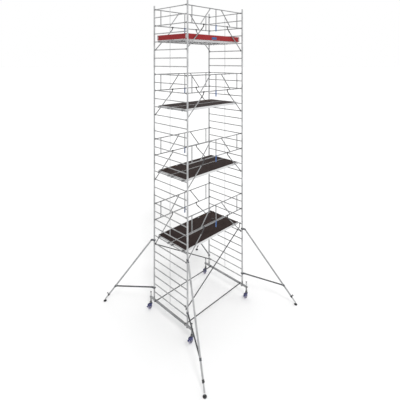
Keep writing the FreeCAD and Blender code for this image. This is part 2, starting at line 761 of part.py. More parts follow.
def hinge_knuckle(start, length):
    """One knuckle of the hatch hinge, from X = start."""
    axis = Vector(start, HINGE_Y, HINGE_Z)
    return tube(axis, axis + Vector(length, 0, 0), HINGE_D, (HINGE_D - HINGE_PIN_D) / 2 - RUNNING_CLEARANCE)


def hinge_leaf(start, length, side):
    """Knuckle with its flat leaf on the board (side 1) or on the lid (side -1)."""
    low = min(HINGE_Y, HINGE_Y + side * (HINGE_D / 2 + HINGE_LEAF))
    high = max(HINGE_Y, HINGE_Y + side * (HINGE_D / 2 + HINGE_LEAF))
    leaf = box((start, low, DECK_TOP), (start + length, high, DECK_TOP + HINGE_LEAF_THICKNESS))
    axis = Vector(start, HINGE_Y, HINGE_Z)
    leaf = leaf.cut(rod(axis, axis + Vector(length, 0, 0), HINGE_D - LEAF_ROOT))
    return hinge_knuckle(start, length).fuse(leaf)


def hinge_fixed():
    """The pin and the knuckles that stay on the deck."""
    solids = []
    pin_low = Vector(HATCH_CENTRE - HATCH_LENGTH / 2, HINGE_Y, HINGE_Z)
    solids.append(rod(pin_low, pin_low + Vector(HATCH_LENGTH, 0, 0), HINGE_PIN_D))
    for start in (HATCH_CENTRE - HATCH_LENGTH / 2, HATCH_CENTRE + HATCH_LENGTH / 2 - KNUCKLE_LENGTH):
        solids.append(hinge_leaf(start, KNUCKLE_LENGTH, 1))
    return solids


def hatch_lid():
    """Lid that fills the hatch, with the knuckle that turns on the pin."""
    x = HATCH_LENGTH / 2 - HATCH_GAP
    y = HATCH_WIDTH / 2 - HATCH_GAP
    lid = box((HATCH_CENTRE - x, -y, BOARD_BOTTOM), (HATCH_CENTRE + x, y, DECK_TOP))
    start = HATCH_CENTRE - HATCH_LENGTH / 2 + KNUCKLE_LENGTH + KNUCKLE_GAP
    length = HATCH_LENGTH - 2 * KNUCKLE_LENGTH - 2 * KNUCKLE_GAP
    return [lid, hinge_leaf(start, length, -1)]


def at_level(shapes, level):
    """Shapes of the rear deck at a level; the hatch changes ends from one level to the next."""
    placed = moved(shapes, (0, DECK_CENTRE, deck_rung(level)))
    return mirrored(placed, ALONG_X) if level % 2 == 0 else placed


CROSS_PITCH = 2 * DECK_END / (CROSS_TUBES + 1)
HATCH_TUBE = HATCH_LENGTH / 2 + CROSS_TUBE / 2
every_tube = [-DECK_END + number * CROSS_PITCH for number in range(1, CROSS_TUBES + 1)]
beside_hatch = [HATCH_CENTRE - HATCH_TUBE, HATCH_CENTRE + HATCH_TUBE]
clear_of_hatch = [x for x in every_tube if abs(x - HATCH_CENTRE) > HATCH_TUBE + CROSS_TUBE]
plain_frame = deck_frame(every_tube)
hatch_frame = deck_frame(clear_of_hatch + beside_hatch)
for level in range(1, LEVELS + 1):
    front = (0, -DECK_CENTRE, deck_rung(level))
    number = str(level)
    rear_frame = at_level(hatch_frame + hinge_fixed(), level)
    save("platform_frames_" + number, moved(plain_frame, front) + rear_frame)
    rear_boards = at_level([board().cut(hatch_hole())], level)
    save("deck_boards_" + number, moved([board()], front) + rear_boards)
    save("hatch_lid_" + number, at_level(hatch_lid(), level))


# Toe boards around the highest platform


def toe_boards():
    """Two long and two short boards on edge, counted from the highest deck rung."""
    outer = STILE_Y - TOE_INSET
    end = END_X - TOE_END_INSET
    low = TOE_LIFT
    high = TOE_LIFT + TOE_HEIGHT
    run = end - TOE_THICKNESS - TOE_CORNER_GAP
    long_board = box((-run, outer - TOE_THICKNESS, low), (run, outer, high))
    short_board = box((end - TOE_THICKNESS, -outer, low), (end, outer, high))
    return both_sides([long_board], ALONG_Y) + both_sides([short_board], ALONG_X)


save("toe_boards", moved(toe_boards(), (0, 0, deck_rung(LEVELS))))


# Outriggers: outer tube and arm on two couplers, telescopic leg with a clamp knob, foot on a pin

UPPER_Z = rung_height(FRAME_RUNGS - 1) + UPPER_COUPLER_RISE
LOWER_Z = rung_height(1) + LOWER_COUPLER_RISE
TUBE_TOP = Vector(OUTRIGGER_START, 0, UPPER_Z)
PIVOT = Vector(OUTRIGGER_REACH, 0, FOOT_PIVOT)
DOWN = (PIVOT - TUBE_TOP).normalize()
ARM_JOINT = PIVOT - DOWN * ARM_FROM_FOOT
ARM_TOP = Vector(OUTRIGGER_START, 0, LOWER_Z)
OUT = (ARM_JOINT - ARM_TOP).normalize()
TUBE_BOTTOM = PIVOT - DOWN * KNOB_FROM_FOOT
LEG_D = OUTRIGGER_TUBE_D - 2 * OUTRIGGER_WALL - 2 * LEG_CLEARANCE


def plug(start, direction, diameter, wall):
    """Pin that fills the end of a tube, starting a little before it."""
    inner = diameter - 2 * wall - 2 * PLUG_CLEARANCE
    return rod(start - direction * PLUG_ROOT, start + direction * PLUG_LENGTH, inner)


def coupler(height, tube_start, direction, diameter, wall):
    """Clamp around the stile with a lug and a plug in the tube that it holds."""
    low = Vector(0, 0, height - COUPLER_HEIGHT / 2)
    high = Vector(0, 0, height + COUPLER_HEIGHT / 2)
    bore = STILE_D + 2 * COUPLER_CLEARANCE
    ring = rod(low, high, bore + 2 * COUPLER_WALL)
    half = COUPLER_LUG / 2
    lug = box((0, -half, low.z), (OUTRIGGER_START, half, high.z))
    body = ring.fuse(lug).cut(rod(tube_start, tube_start + direction * OUTRIGGER_START, diameter))
    body = body.fuse(plug(tube_start, direction, diameter, wall))
    return body.cut(rod(low, high, bore))


def outrigger_frame():
    """Outer tube, arm, couplers, arm collar, clamp collar and knob."""
    outer = tube(TUBE_TOP, TUBE_BOTTOM, OUTRIGGER_TUBE_D, OUTRIGGER_WALL)
    upper = coupler(UPPER_Z, TUBE_TOP, DOWN, OUTRIGGER_TUBE_D, OUTRIGGER_WALL)
    lower = coupler(LOWER_Z, ARM_TOP, OUT, ARM_D, ARM_WALL)
    half = DOWN * (COLLAR_LENGTH / 2)
    collar_d = OUTRIGGER_TUBE_D + 2 * COLLAR_WALL
    around = rod(ARM_JOINT - half, ARM_JOINT + half, collar_d)
    inside = rod(ARM_JOINT - half * 2, ARM_JOINT + half * 2, OUTRIGGER_TUBE_D)
    arm = tube(ARM_TOP, ARM_JOINT, ARM_D, ARM_WALL)
    arm = arm.cut(rod(ARM_JOINT - half * 4, ARM_JOINT + half * 4, collar_d))
    arm_plug = plug(ARM_JOINT - OUT * collar_d / 2, -OUT, ARM_D, ARM_WALL)
    arm_collar = around.fuse(arm_plug).cut(inside)
    clamp_start = TUBE_BOTTOM - DOWN * COLLAR_LENGTH
    clamp = rod(clamp_start, TUBE_BOTTOM, collar_d).cut(rod(clamp_start, TUBE_BOTTOM, OUTRIGGER_TUBE_D))
    away = Vector(-DOWN.z, 0, DOWN.x)
    stem_root = TUBE_BOTTOM - half + away * (collar_d / 2 - KNOB_STEM_ROOT)
    stem_end = stem_root + away * KNOB_STEM_LENGTH
    clamp = clamp.fuse(rod(stem_root, stem_end, KNOB_STEM_D))
    knob = rod(stem_end, stem_end + away * KNOB_THICKNESS, KNOB_D)
    return [outer, arm, upper, lower, arm_collar, clamp, knob]


def outrigger_leg():
    """Inner tube that slides in the outer tube, with two ears and the pin for the foot."""
    low = PIVOT - DOWN * LEG_END
    inner = tube(PIVOT - DOWN * LEG_LENGTH, low, LEG_D, LEG_WALL)
    head = rod(low, low + DOWN * LEG_HEAD, LEG_D)
    gap = TONGUE_THICKNESS / 2 + EAR_GAP
    pin_end = ALONG_Y * (gap + EAR_THICKNESS + PIN_HEAD)
    pin = rod(PIVOT - pin_end, PIVOT + pin_end, FOOT_PIN_D)
    for side in (-1, 1):
        inside = PIVOT + ALONG_Y * (side * gap)
        outside = PIVOT + ALONG_Y * (side * (gap + EAR_THICKNESS))
        eye = rod(inside, outside, TONGUE_D)
        y = min(inside.y, outside.y)
        strap = box((0, y, -TONGUE_D / 2), (LEG_END - EAR_ROOT, y + EAR_THICKNESS, TONGUE_D / 2))
        strap = spun([strap], -math.degrees(math.atan2(-DOWN.z, -DOWN.x)), ALONG_Y)
        head = head.fuse(moved(strap, PIVOT)[0]).fuse(eye)
    return [inner, head.cut(pin), pin]


def outrigger_foot():
    """Round foot with a tongue on the pin."""
    base = FOOT_D / 2
    dome = turned(
        [
            (0, 0),
            (base - FOOT_CHAMFER, 0),
            (base, FOOT_CHAMFER),
            (base, FOOT_BASE),
            (FOOT_TOP_D / 2, FOOT_DOME),
            (0, FOOT_DOME),
        ]
    )
    half = TONGUE_THICKNESS / 2
    tongue = box((-TONGUE_D / 2, -half, FOOT_DOME - OVERCUT), (TONGUE_D / 2, half, FOOT_PIVOT))
    tongue = tongue.fuse(rod(Vector(0, -half, FOOT_PIVOT), Vector(0, half, FOOT_PIVOT), TONGUE_D))
    hole = FOOT_PIN_D + 2 * RUNNING_CLEARANCE
    foot = dome.fuse(tongue).cut(rod(Vector(0, -half, FOOT_PIVOT), Vector(0, half, FOOT_PIVOT), hole))
    return moved([foot], (OUTRIGGER_REACH, 0, 0))


outrigger_parts = {
    "outrigger_frame_": outrigger_frame(),
    "outrigger_leg_": outrigger_leg(),
    "outrigger_foot_": outrigger_foot(),
}
for corner, (x_sign, y_sign) in CORNERS.items():
    heading = math.degrees(math.atan2(y_sign * math.sin(math.radians(OUTRIGGER_SPLAY)),
                                      x_sign * math.cos(math.radians(OUTRIGGER_SPLAY))))
    for name, shapes in outrigger_parts.items():
        save(name + corner, moved(spun(shapes, heading), (x_sign * END_X, y_sign * STILE_Y, 0)))
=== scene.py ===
import math

import bpy
import numpy as np
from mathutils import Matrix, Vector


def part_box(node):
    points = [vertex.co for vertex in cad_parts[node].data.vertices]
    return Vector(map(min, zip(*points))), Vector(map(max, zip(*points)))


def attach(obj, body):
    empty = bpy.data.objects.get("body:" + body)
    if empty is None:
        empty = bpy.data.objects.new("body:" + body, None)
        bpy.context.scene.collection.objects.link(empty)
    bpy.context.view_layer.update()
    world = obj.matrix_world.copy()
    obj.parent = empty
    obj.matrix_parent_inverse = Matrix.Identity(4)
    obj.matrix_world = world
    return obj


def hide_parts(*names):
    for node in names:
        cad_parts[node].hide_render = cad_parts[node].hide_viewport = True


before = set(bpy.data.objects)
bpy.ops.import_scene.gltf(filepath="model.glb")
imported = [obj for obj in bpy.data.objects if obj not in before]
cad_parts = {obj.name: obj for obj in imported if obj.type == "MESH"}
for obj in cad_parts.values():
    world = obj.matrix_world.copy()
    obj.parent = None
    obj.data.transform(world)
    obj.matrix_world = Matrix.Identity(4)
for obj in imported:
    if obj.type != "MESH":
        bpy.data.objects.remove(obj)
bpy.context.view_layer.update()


# Base beams: a square aluminium tube across each end of the tower, with a stub post welded under each stile
# and a steel sleeve welded through beyond it for the castor's spindle. Moulded plugs close the ends, and a
# hand nut under each post draws its locking bolt tight.


def box_of(node):
    """Lowest and highest corner of a CAD node, as arrays."""
    low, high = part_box(node)
    return np.array(low), np.array(high)


def turned(profile, around=24, closed=False):
    """A profile of (radius, height) pairs turned about Z: place = (radius cos a, radius sin a, height)."""
    radius, height = np.array(profile, float).T
    a = np.linspace(0, 2 * np.pi, around, endpoint=False)
    flat = np.stack([radius[:, None] * np.cos(a), radius[:, None] * np.sin(a)], -1)
    rise = np.broadcast_to(height[:, None, None], flat.shape[:2] + (1,))
    places = np.concatenate([flat, rise], -1)[None]
    return places, places, closed


def rounded(corners, radius, steps=4):
    """Each corner of a polygon replaced by the curve (1-s)^2 before + 2s(1-s) corner + s^2 after, where
    before and after lie the radius away from the corner along its two sides, or half a side where that is
    less."""
    corner = np.array(corners, float)
    back = np.roll(corner, 1, 0) - corner
    ahead = np.roll(corner, -1, 0) - corner
    back_length = np.linalg.norm(back, axis=1, keepdims=True)
    ahead_length = np.linalg.norm(ahead, axis=1, keepdims=True)
    before = corner + back * np.minimum(radius / back_length, 0.49)
    after = corner + ahead * np.minimum(radius / ahead_length, 0.49)
    s = np.linspace(0, 1, steps)[None, :, None]
    curve = (1 - s) ** 2 * before[:, None] + 2 * s * (1 - s) * corner[:, None] + s**2 * after[:, None]
    return curve.reshape(-1, 2)


def oblong(left, low, right, high, radius):
    """A rectangle with rounded corners."""
    return rounded([(left, low), (right, low), (right, high), (left, high)], radius)


def mirrored(half):
    """A profile of (radius, height) pairs followed by its mirror image in the height 0."""
    return half + [(radius, -height) for radius, height in reversed(half)]


def carried(outline, low, high, edge=0.0008):
    """A closed outline in (x, y) carried along Z from low to high. Near each end it is drawn in by
    edge (1 - sin t) along its corner directions at the height edge (1 - cos t), which rounds the rim."""
    outline = np.array(outline, float)
    ahead = np.roll(outline, -1, 0)
    if np.sum(outline[:, 0] * ahead[:, 1] - ahead[:, 0] * outline[:, 1]) < 0:
        outline = outline[::-1]
        ahead = np.roll(outline, -1, 0)
    side = ahead - outline
    normal = np.stack([side[:, 1], -side[:, 0]], -1) / np.linalg.norm(side, axis=1, keepdims=True)
    before = np.roll(normal, 1, 0)
    outward = (normal + before) / np.maximum(1 + np.sum(normal * before, 1, keepdims=True), 0.4)
    t = np.array([0, np.pi / 4, np.pi / 2])
    drawn_in = np.concatenate([edge * (1 - np.sin(t)), edge * (1 - np.sin(t[::-1]))])
    height = np.concatenate([low + edge * (1 - np.cos(t)), high - edge * (1 - np.cos(t[::-1]))])
    flat = outline[None] - drawn_in[:, None, None] * outward[None]
    rise = np.broadcast_to(height[:, None, None], flat.shape[:2] + (1,))
    places = np.concatenate([flat, rise], -1)[None]
    return places, places, False


def turn(across, along):
    """The turn that takes X to across and Z to along, with Y = along x across."""
    x = np.array(across, float)
    z = np.array(along, float)
    x = x / np.linalg.norm(x, axis=-1, keepdims=True)
    z = z / np.linalg.norm(z, axis=-1, keepdims=True)
    return np.stack([x, np.cross(z, x), z], -1)


def placed(shape, origins, turns=np.eye(3)):
    """Copies of a shape, one for each origin: place = origin + turn x local place."""
    places, grain, closed = shape
    origins = np.atleast_2d(np.array(origins, float))
    turns = np.broadcast_to(turns, (len(origins), 3, 3))
    moved = np.einsum("kij,crpj->kcrpi", turns, places) + origins[:, None, None, None]
    kept = np.broadcast_to(grain[None], moved.shape)
    return moved.reshape(-1, *places.shape[1:]), kept.reshape(-1, *places.shape[1:]), closed


def tubes(starts, ends, radius, wall=0.0, around=16):
    """Round tubes from starts to ends: place = start + (share x length) axis + radius (cos a side + sin a
    up). With a wall, the surface goes back through the bore; without one, the ends are flat."""
    starts, ends = np.broadcast_arrays(np.atleast_2d(starts), np.atleast_2d(ends))
    line = np.array(ends, float) - starts
    length = np.linalg.norm(line, axis=1)
    steep = np.abs(line[:, 2:]) > 0.9 * length[:, None]
    side = np.cross(np.where(steep, [[1.0, 0, 0]], [[0, 0, 1.0]]), line)
    share = np.array([0, 1, 1, 0]) if wall else np.array([0, 1])
    width = np.array([radius, radius, radius - wall, radius - wall]) if wall else np.array([radius, radius])
    ring, _, _ = turned(np.stack([width, share], -1), around)
    local = np.repeat(ring, len(length), 0)
    local[..., 2] *= length[:, None, None]
    moved = np.einsum("kij,krpj->krpi", turn(side, line), local) + np.array(starts, float)[:, None, None]
    return moved, local, bool(wall)


def bead(radius, other=0.0, size=0.003, around=12, sides=4):
    """Weld bead where a tube along Z meets a thicker tube along Y, or a flat face where other is 0. Its
    centre line is (radius cos a, radius sin a, root(other^2 - (radius cos a)^2)), and a small circle is
    carried round it."""
    a = np.linspace(0, 2 * np.pi, around, endpoint=False)[None, :]
    t = np.linspace(0, 2 * np.pi, sides, endpoint=False)[:, None]
    swell = size * (1 + 0.12 * np.cos(5 * a))
    reach = radius + swell * np.cos(t)
    height = np.sqrt(np.maximum(other**2 - (radius * np.cos(a)) ** 2, 0)) + swell * np.sin(t)
    places = np.stack([reach * np.cos(a), reach * np.sin(a), height], -1)[None]
    return places, places, True


def make_piece(name, body, shapes, finish, replaces=()):
    """Joins shapes into one mesh. Each ring is joined to the next by four-sided faces; the first and last
    rings are joined to each other on a closed shape and covered on an open one."""
    faces = []
    count = 0
    for places, grain, closed in shapes:
        index = count + np.arange(places[..., 0].size).reshape(places.shape[:3])
        beside = np.roll(index, -1, 2)
        last = index.shape[1] - (not closed)
        above, above_beside = np.roll(index, -1, 1), np.roll(beside, -1, 1)
        walls = [index[:, :last], beside[:, :last], above_beside[:, :last], above[:, :last]]
        faces += np.stack(walls, -1).reshape(-1, 4).tolist()
        if not closed:
            faces += index[:, 0, ::-1].tolist() + index[:, -1].tolist()
        count += index.size
    mesh = bpy.data.meshes.new(name)
    mesh.from_pydata(np.concatenate([s[0].reshape(-1, 3) for s in shapes]).tolist(), [], faces)
    mesh.polygons.foreach_set("use_smooth", np.ones(len(mesh.polygons), bool))
    mesh.set_sharp_from_angle(angle=math.radians(38))
    grain = mesh.attributes.new("grain", "FLOAT_VECTOR", "POINT")
    grain.data.foreach_set("vector", np.concatenate([s[1].reshape(-1, 3) for s in shapes]).ravel())
    mesh.materials.append(finish.material)
    piece = bpy.data.objects.new(name, mesh)
    bpy.context.collection.objects.link(piece)
    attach(piece, body)
    if replaces:
        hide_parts(*replaces)
    return piece


class Tone:
    """A value in a finish. Arithmetic on it adds Math nodes."""

    def __init__(self, finish, socket):
        self.finish = finish
        self.socket = socket

    def math(self, operation, *values):
        return self.finish.node("ShaderNodeMath", {"operation": operation}, [self, *values])

    def __add__(self, other):
        return self.math("ADD", other)

    def __mul__(self, other):
        return self.math("MULTIPLY", other)

    def __sub__(self, other):
        return self.math("SUBTRACT", other)

    def __rsub__(self, other):
        return self.finish.node("ShaderNodeMath", {"operation": "SUBTRACT"}, [other, self])

    __radd__ = __add__
    __rmul__ = __mul__

    def above(self, low, high):
        """0 below low, 1 above high, and straight in between."""
        settings = {"clamp": True}
        return self.finish.node("ShaderNodeMapRange", settings, {"Value": self, "From Min": low,
            "From Max": high})


class Finish:
    """A material whose colour, roughness and relief come from nodes."""

    def __init__(self, name, metallic=0.0, coat=0.0, bend=1.5):
        self.material = bpy.data.materials.new(name)
        self.material.use_nodes = True
        self.tree = self.material.node_tree
        self.shader = self.tree.nodes["Principled BSDF"]
        self.shader.inputs["Metallic"].default_value = metallic
        self.shader.inputs["Coat Weight"].default_value = coat
        self.shader.inputs["IOR"].default_value = bend

    def node(self, kind, settings, values, output=0):
        """Adds a node, makes its settings, then sets or links its sockets by name or in order."""
        made = self.tree.nodes.new(kind)
        for setting, value in settings.items():
            setattr(made, setting, value)
        for key, value in values.items() if isinstance(values, dict) else enumerate(values):
            if isinstance(value, Tone):
                self.tree.links.new(value.socket, made.inputs[key])
            else:
                made.inputs[key].default_value = value
        return Tone(self, made.outputs[output])

    def where(self):
        """The place on the object."""
        return self.node("ShaderNodeTexCoord", {}, {}, "Object")

    def grain(self):
        """The place in the piece's own directions, with Z along it."""
        return self.node("ShaderNodeAttribute", {"attribute_name": "grain"}, {}, "Vector")

    def axes(self, vector):
        """The three parts of a vector."""
        return [self.node("ShaderNodeSeparateXYZ", {}, [vector], i) for i in range(3)]

    def noise(self, vector, stretch, detail=3.0):
        """Cloudy values about 0.5, stretch grains to a metre in each direction."""
        scaled = self.node("ShaderNodeMapping", {}, {"Vector": vector, "Scale": stretch})
        return self.node("ShaderNodeTexNoise", {}, {"Vector": scaled, "Scale": 1.0, "Detail": detail})

    def cloud(self, stretch, detail):
        """Cloudy values with the same stretch in every direction of the object."""
        return self.noise(self.where(), (stretch, stretch, stretch), detail)

    def facing(self):
        """The direction that the surface faces."""
        return self.node("ShaderNodeNewGeometry", {}, {}, "Normal")

    def mix(self, share, first, second):
        """A colour share of the way from the first to the second."""
        first, second = [(*end, 1) if isinstance(end, tuple) else end for end in (first, second)]
        return self.node("ShaderNodeMix", {"data_type": "RGBA"}, {0: share, 6: first, 7: second}, 2)

    def edges(self, width):
        """1 on the sharp edges of the piece and 0 on its flats."""
        soft = self.node("ShaderNodeBevel", {"samples": 4}, {"Radius": width})
        alike = self.node("ShaderNodeVectorMath", {"operation": "DOT_PRODUCT"}, [soft, self.facing()],
                          "Value")
        return (1 - alike).above(0.01, 0.12)

    def paint(self, colour, roughness, relief, depth, strength=0.6):
        """Links the colour, the roughness and the relief, depth metres high, to the shader."""
        raised = {"Strength": strength, "Distance": depth, "Height": relief}
        normal = self.node("ShaderNodeBump", {}, raised, "Normal")
        self.tree.links.new(colour.socket, self.shader.inputs["Base Color"])
        self.tree.links.new(roughness.socket, self.shader.inputs["Roughness"])
        self.tree.links.new(normal.socket, self.shader.inputs["Normal"])
        return self


def drawn_aluminium(name, dull, bright, flutes=0):
    """Drawn aluminium: fine die lines along the tube, a cloudy oxide, small scuffs, and flutes round a
    rung."""
    finish = Finish(name, metallic=0.7)
    grain = finish.grain()
    lines = finish.noise(grain, (700, 700, 5), 2)
    cloud = finish.cloud(4, 4)
    scuffs = finish.cloud(45, 6).above(0.62, 0.72)
    colour = finish.mix((cloud * 0.6 + lines * 0.4).above(0.32, 0.68), dull, bright)
    colour = finish.mix(scuffs * 0.35, colour, (0.2, 0.2, 0.21))
    relief = lines * 0.25 - scuffs * 0.2
    if flutes:
        x, y, _ = finish.axes(grain)
        relief = relief + (y.math("ARCTAN2", x) * flutes).math("SINE") * 0.5
    return finish.paint(colour, 0.3 + cloud * 0.2 + lines * 0.1 + scuffs * 0.15, relief, 0.0006)


def moulded_plastic(name, deep, worn):
    """Moulded plastic: a fine spark-eroded texture, faint flow marks and pale rubbed edges."""
    finish = Finish(name)
    pores = finish.cloud(900, 2)
    flow = finish.noise(finish.where(), (18, 18, 40), 3)
    rubbed = finish.edges(0.0025) * finish.cloud(60, 4).above(0.35, 0.6)
    colour = finish.mix(flow.above(0.3, 0.7) * 0.5 + rubbed * 0.5, deep, worn)
    return finish.paint(colour, 0.42 + flow * 0.2 + rubbed * 0.15, pores + flow * 0.5, 0.0003)


beams_low, beams_high = box_of("base_beams")
frames_high = box_of("end_frame_right_1")[1]
spindle_low, spindle_high = box_of("castor_spindle_right_rear")
STILE_RADIUS = 0.025
BEAM_SIZE = 0.050
end_x = beams_high[0] - BEAM_SIZE / 2
stile_y = frames_high[1] - STILE_RADIUS
spindle_y = (spindle_low[1] + spindle_high[1]) / 2
post_top = beams_high[2]
POST_ABOVE_AXIS = 0.125
beam_axis = post_top - POST_ABOVE_AXIS
beam_top = beam_axis + BEAM_SIZE / 2
beam_bottom = beam_axis - BEAM_SIZE / 2
corner_signs = {"left_front": (-1, -1), "right_front": (1, -1), "right_rear": (1, 1), "left_rear": (-1, 1)}
signs = np.array(list(corner_signs.values()), float)
along_y = turn((1, 0, 0), (0, 1, 0))

half_beam = BEAM_SIZE / 2
square = oblong(-half_beam, -half_beam, half_beam, half_beam, 0.006)
beam_end = beams_high[1]
beam = carried(square, -beam_end + 0.003, beam_end - 0.003, 0.0005)
posts = np.column_stack([signs[:, 0] * end_x, signs[:, 1] * stile_y, np.full(4, beam_top)])
sleeves = np.column_stack([signs[:, 0] * end_x, signs[:, 1] * spindle_y, np.full(4, beams_low[2])])
SLEEVE_RADIUS = 0.0238
beam_metal = drawn_aluminium("beam aluminium", (0.18, 0.183, 0.188), (0.36, 0.364, 0.37))
make_piece("base_beam_tubes", "tower", [placed(beam, [(-end_x, 0, beam_axis), (end_x, 0, beam_axis)],
                                               along_y), tubes(posts, posts + (0, 0, post_top - beam_top),
    STILE_RADIUS, 0.0025, 32), tubes(sleeves, sleeves + (0, 0, beam_top + 0.005 - beams_low[2]),
                                     SLEEVE_RADIUS, 0.0045, 32),
                                        placed(bead(STILE_RADIUS, size=0.003, around=32, sides=6), posts),
                                        placed(bead(SLEEVE_RADIUS, size=0.0028, around=32, sides=6),
                                               sleeves * (1, 1, 0) + (0, 0, beam_top)),
                                        placed(bead(SLEEVE_RADIUS, size=0.0028, around=32, sides=6),
                                               sleeves * (1, 1, 0) + (0, 0, beam_bottom))], beam_metal,
           ["base_beams"])

black_plastic = moulded_plastic("black plastic", (0.012, 0.012, 0.013), (0.05, 0.05, 0.052))
plug = carried(square * 1.02, 0, 0.004, 0.0015)
plug_turns = np.stack([turn((1, 0, 0), (0, side, 0)) for side in signs[:, 1]])
plug_places = np.column_stack([signs[:, 0] * end_x, signs[:, 1] * (beam_end - 0.003),
                               np.full(4, beam_axis)])
lobes = np.linspace(0, 2 * np.pi, 48, endpoint=False)
nut_outline = np.stack([np.cos(lobes), np.sin(lobes)], -1) * (0.019 + 0.0022 * np.cos(6 * lobes))[:, None]
hand_nut = carried(nut_outline, -0.034, -0.006, 0.003)
nut_places = posts * (1, 1, 0) + (0, 0, beam_bottom)
nut_places[:, 1] -= signs[:, 1] * 0.02
make_piece(
    "base_beam_plugs",
    "tower",
    [
        placed(plug, plug_places, plug_turns),
        placed(hand_nut, nut_places),
        placed(turned([(0.008, -0.05), (0.008, 0.001)], 16), nut_places),
        placed(turned([(0.022, -0.006), (0.024, -0.004), (0.024, 0.001)], 32), nut_places),
    ],
    black_plastic,
)


# Castors: a cast hub with a moulded tyre turns on a bolt in a bent steel fork, which swivels under a bearing
# housing. The housing's threaded spindle stands in the beam's sleeve on a wing nut, and a lever on a pin
# across the fork presses a shoe on the tyre.


def threaded(core, depth, pitch, low, high, around=40, rings_per_turn=6):
    """A threaded bar about Z: at angle a and height z the radius is core + depth x the flat-topped wave of
    z / pitch - a / full turn, faded to nothing over the last turn at each end."""
    a = np.linspace(0, 2 * np.pi, around, endpoint=False)[None, :]
    z = np.linspace(low, high, int((high - low) / pitch * rings_per_turn))[:, None]
    wave = np.clip(1.4 * np.cos(2 * np.pi * (z / pitch) - a), -1, 1) * 0.5 + 0.5
    fade = np.clip(np.minimum(z - low, high - z) / pitch, 0, 1)
    radius = core + depth * wave * fade
    places = np.stack([radius * np.cos(a), radius * np.sin(a), np.broadcast_to(z, radius.shape)], -1)[None]
    return places, places, False


def zinc_plate(name, pale, dull):
    """Zinc-plated steel: crystals of slightly different brightness, dull handling marks and worn bright
    edges."""
    finish = Finish(name, metallic=0.8)
    grown = finish.node("ShaderNodeTexVoronoi", {}, {"Vector": finish.where(), "Scale": 260.0}, "Color")
    crystal = finish.axes(grown)[0]
    marks = finish.cloud(35, 5)
    colour = finish.mix(crystal * 0.5 + marks * 0.5, dull, pale)
    colour = finish.mix(finish.edges(0.0015) * 0.5, colour, (0.75, 0.75, 0.76))
    return finish.paint(colour, 0.28 + marks * 0.25 + crystal * 0.08, crystal * 0.3 + marks, 0.0002)


def powder_coat(name, colour, chipped):
    """Powder coat on steel: orange-peel relief, slightly uneven depth of colour, and chips along the
    edges."""
    finish = Finish(name, coat=0.25)
    peel = finish.cloud(420, 2)
    tone = finish.cloud(14, 4)
    chips = finish.edges(0.002) * finish.cloud(160, 4).above(0.5, 0.58)
    deep = tuple(0.7 * part for part in colour)
    shade = finish.mix(tone.above(0.3, 0.7), deep, colour)
    shade = finish.mix(chips * 0.8, shade, chipped)
    return finish.paint(shade, 0.34 + tone * 0.18 + chips * 0.2, peel * 0.4 - chips, 0.0003)


def moulded_tyre(name):
    """Cast polyurethane tyre: a pale grey-violet body, scuffed darker where it rolls, with fine rings from
    turning."""
    finish = Finish(name)
    across, up, along = finish.axes(finish.grain())
    radius = (across * across + up * up).math("SQRT")
    rolled = radius.above(0.0735, 0.0748)
    grit = finish.cloud(300, 5)
    rings = (radius * 5200.0).math("SINE")
    dirt = rolled * grit.above(0.4, 0.62)
    colour = finish.mix(grit.above(0.35, 0.65), (0.30, 0.28, 0.40), (0.38, 0.36, 0.48))
    colour = finish.mix(dirt * 0.75, colour, (0.11, 0.105, 0.12))
    return finish.paint(colour, 0.5 + grit * 0.2 + rolled * 0.1, rings * 0.3 + grit, 0.0002)


navy_coat = powder_coat("navy powder coat", (0.011, 0.015, 0.125), (0.30, 0.30, 0.32))
housing_coat = powder_coat("grey powder coat", (0.060, 0.063, 0.075), (0.35, 0.35, 0.36))
spindle_zinc = zinc_plate("spindle zinc", (0.62, 0.62, 0.63), (0.38, 0.39, 0.40))
cast_iron = powder_coat("cast iron", (0.035, 0.036, 0.040), (0.22, 0.22, 0.22))
hub_plastic = moulded_plastic("hub plastic", (0.16, 0.16, 0.18), (0.26, 0.26, 0.28))
tyre_rubber = moulded_tyre("grey-violet tyre")

WHEEL_RADIUS = 0.075
TRAIL = 0.035
FORK_INSIDE = 0.0265
FORK_OUTSIDE = 0.0305
upright = turn((1, 0, 0), (0, -1, 0))
half_turn = turn((-1, 0, 0), (0, 0, 1))
nut_low, nut_high = box_of("castor_nut_right_rear")
fork_high = box_of("castor_fork_right_rear")[1]
crown_low = fork_high[2] - 0.006
pin = np.array([-0.097, 0, 0.143])
axle = np.array([-TRAIL, 0, WHEEL_RADIUS])

knurl = np.linspace(0, 2 * np.pi, 72, endpoint=False)
knurled = np.stack([np.cos(knurl), np.sin(knurl)], -1) * (0.0292 + 0.0006 * np.cos(18 * knurl))[:, None]
nut_body = carried(knurled, nut_low[2], nut_high[2], 0.0018)
wing = [(0.022, nut_low[2]), (0.034, nut_low[2] + 0.003), (0.052, nut_high[2] - 0.007),
        (0.0515, nut_high[2])]
wing += [(0.041, nut_high[2] + 0.0005), (0.030, nut_low[2] + 0.016), (0.022, nut_low[2] + 0.014)]
wing = carried(rounded(wing, 0.005), -0.0048, 0.0048, 0.0018)
nut_collar = turned([(0.0191, nut_high[2] - 0.0005), (0.0235, nut_high[2] - 0.0005),
                     (0.0232, nut_high[2] + 0.0003), (0.0191, nut_high[2] + 0.0003)], 40, True)

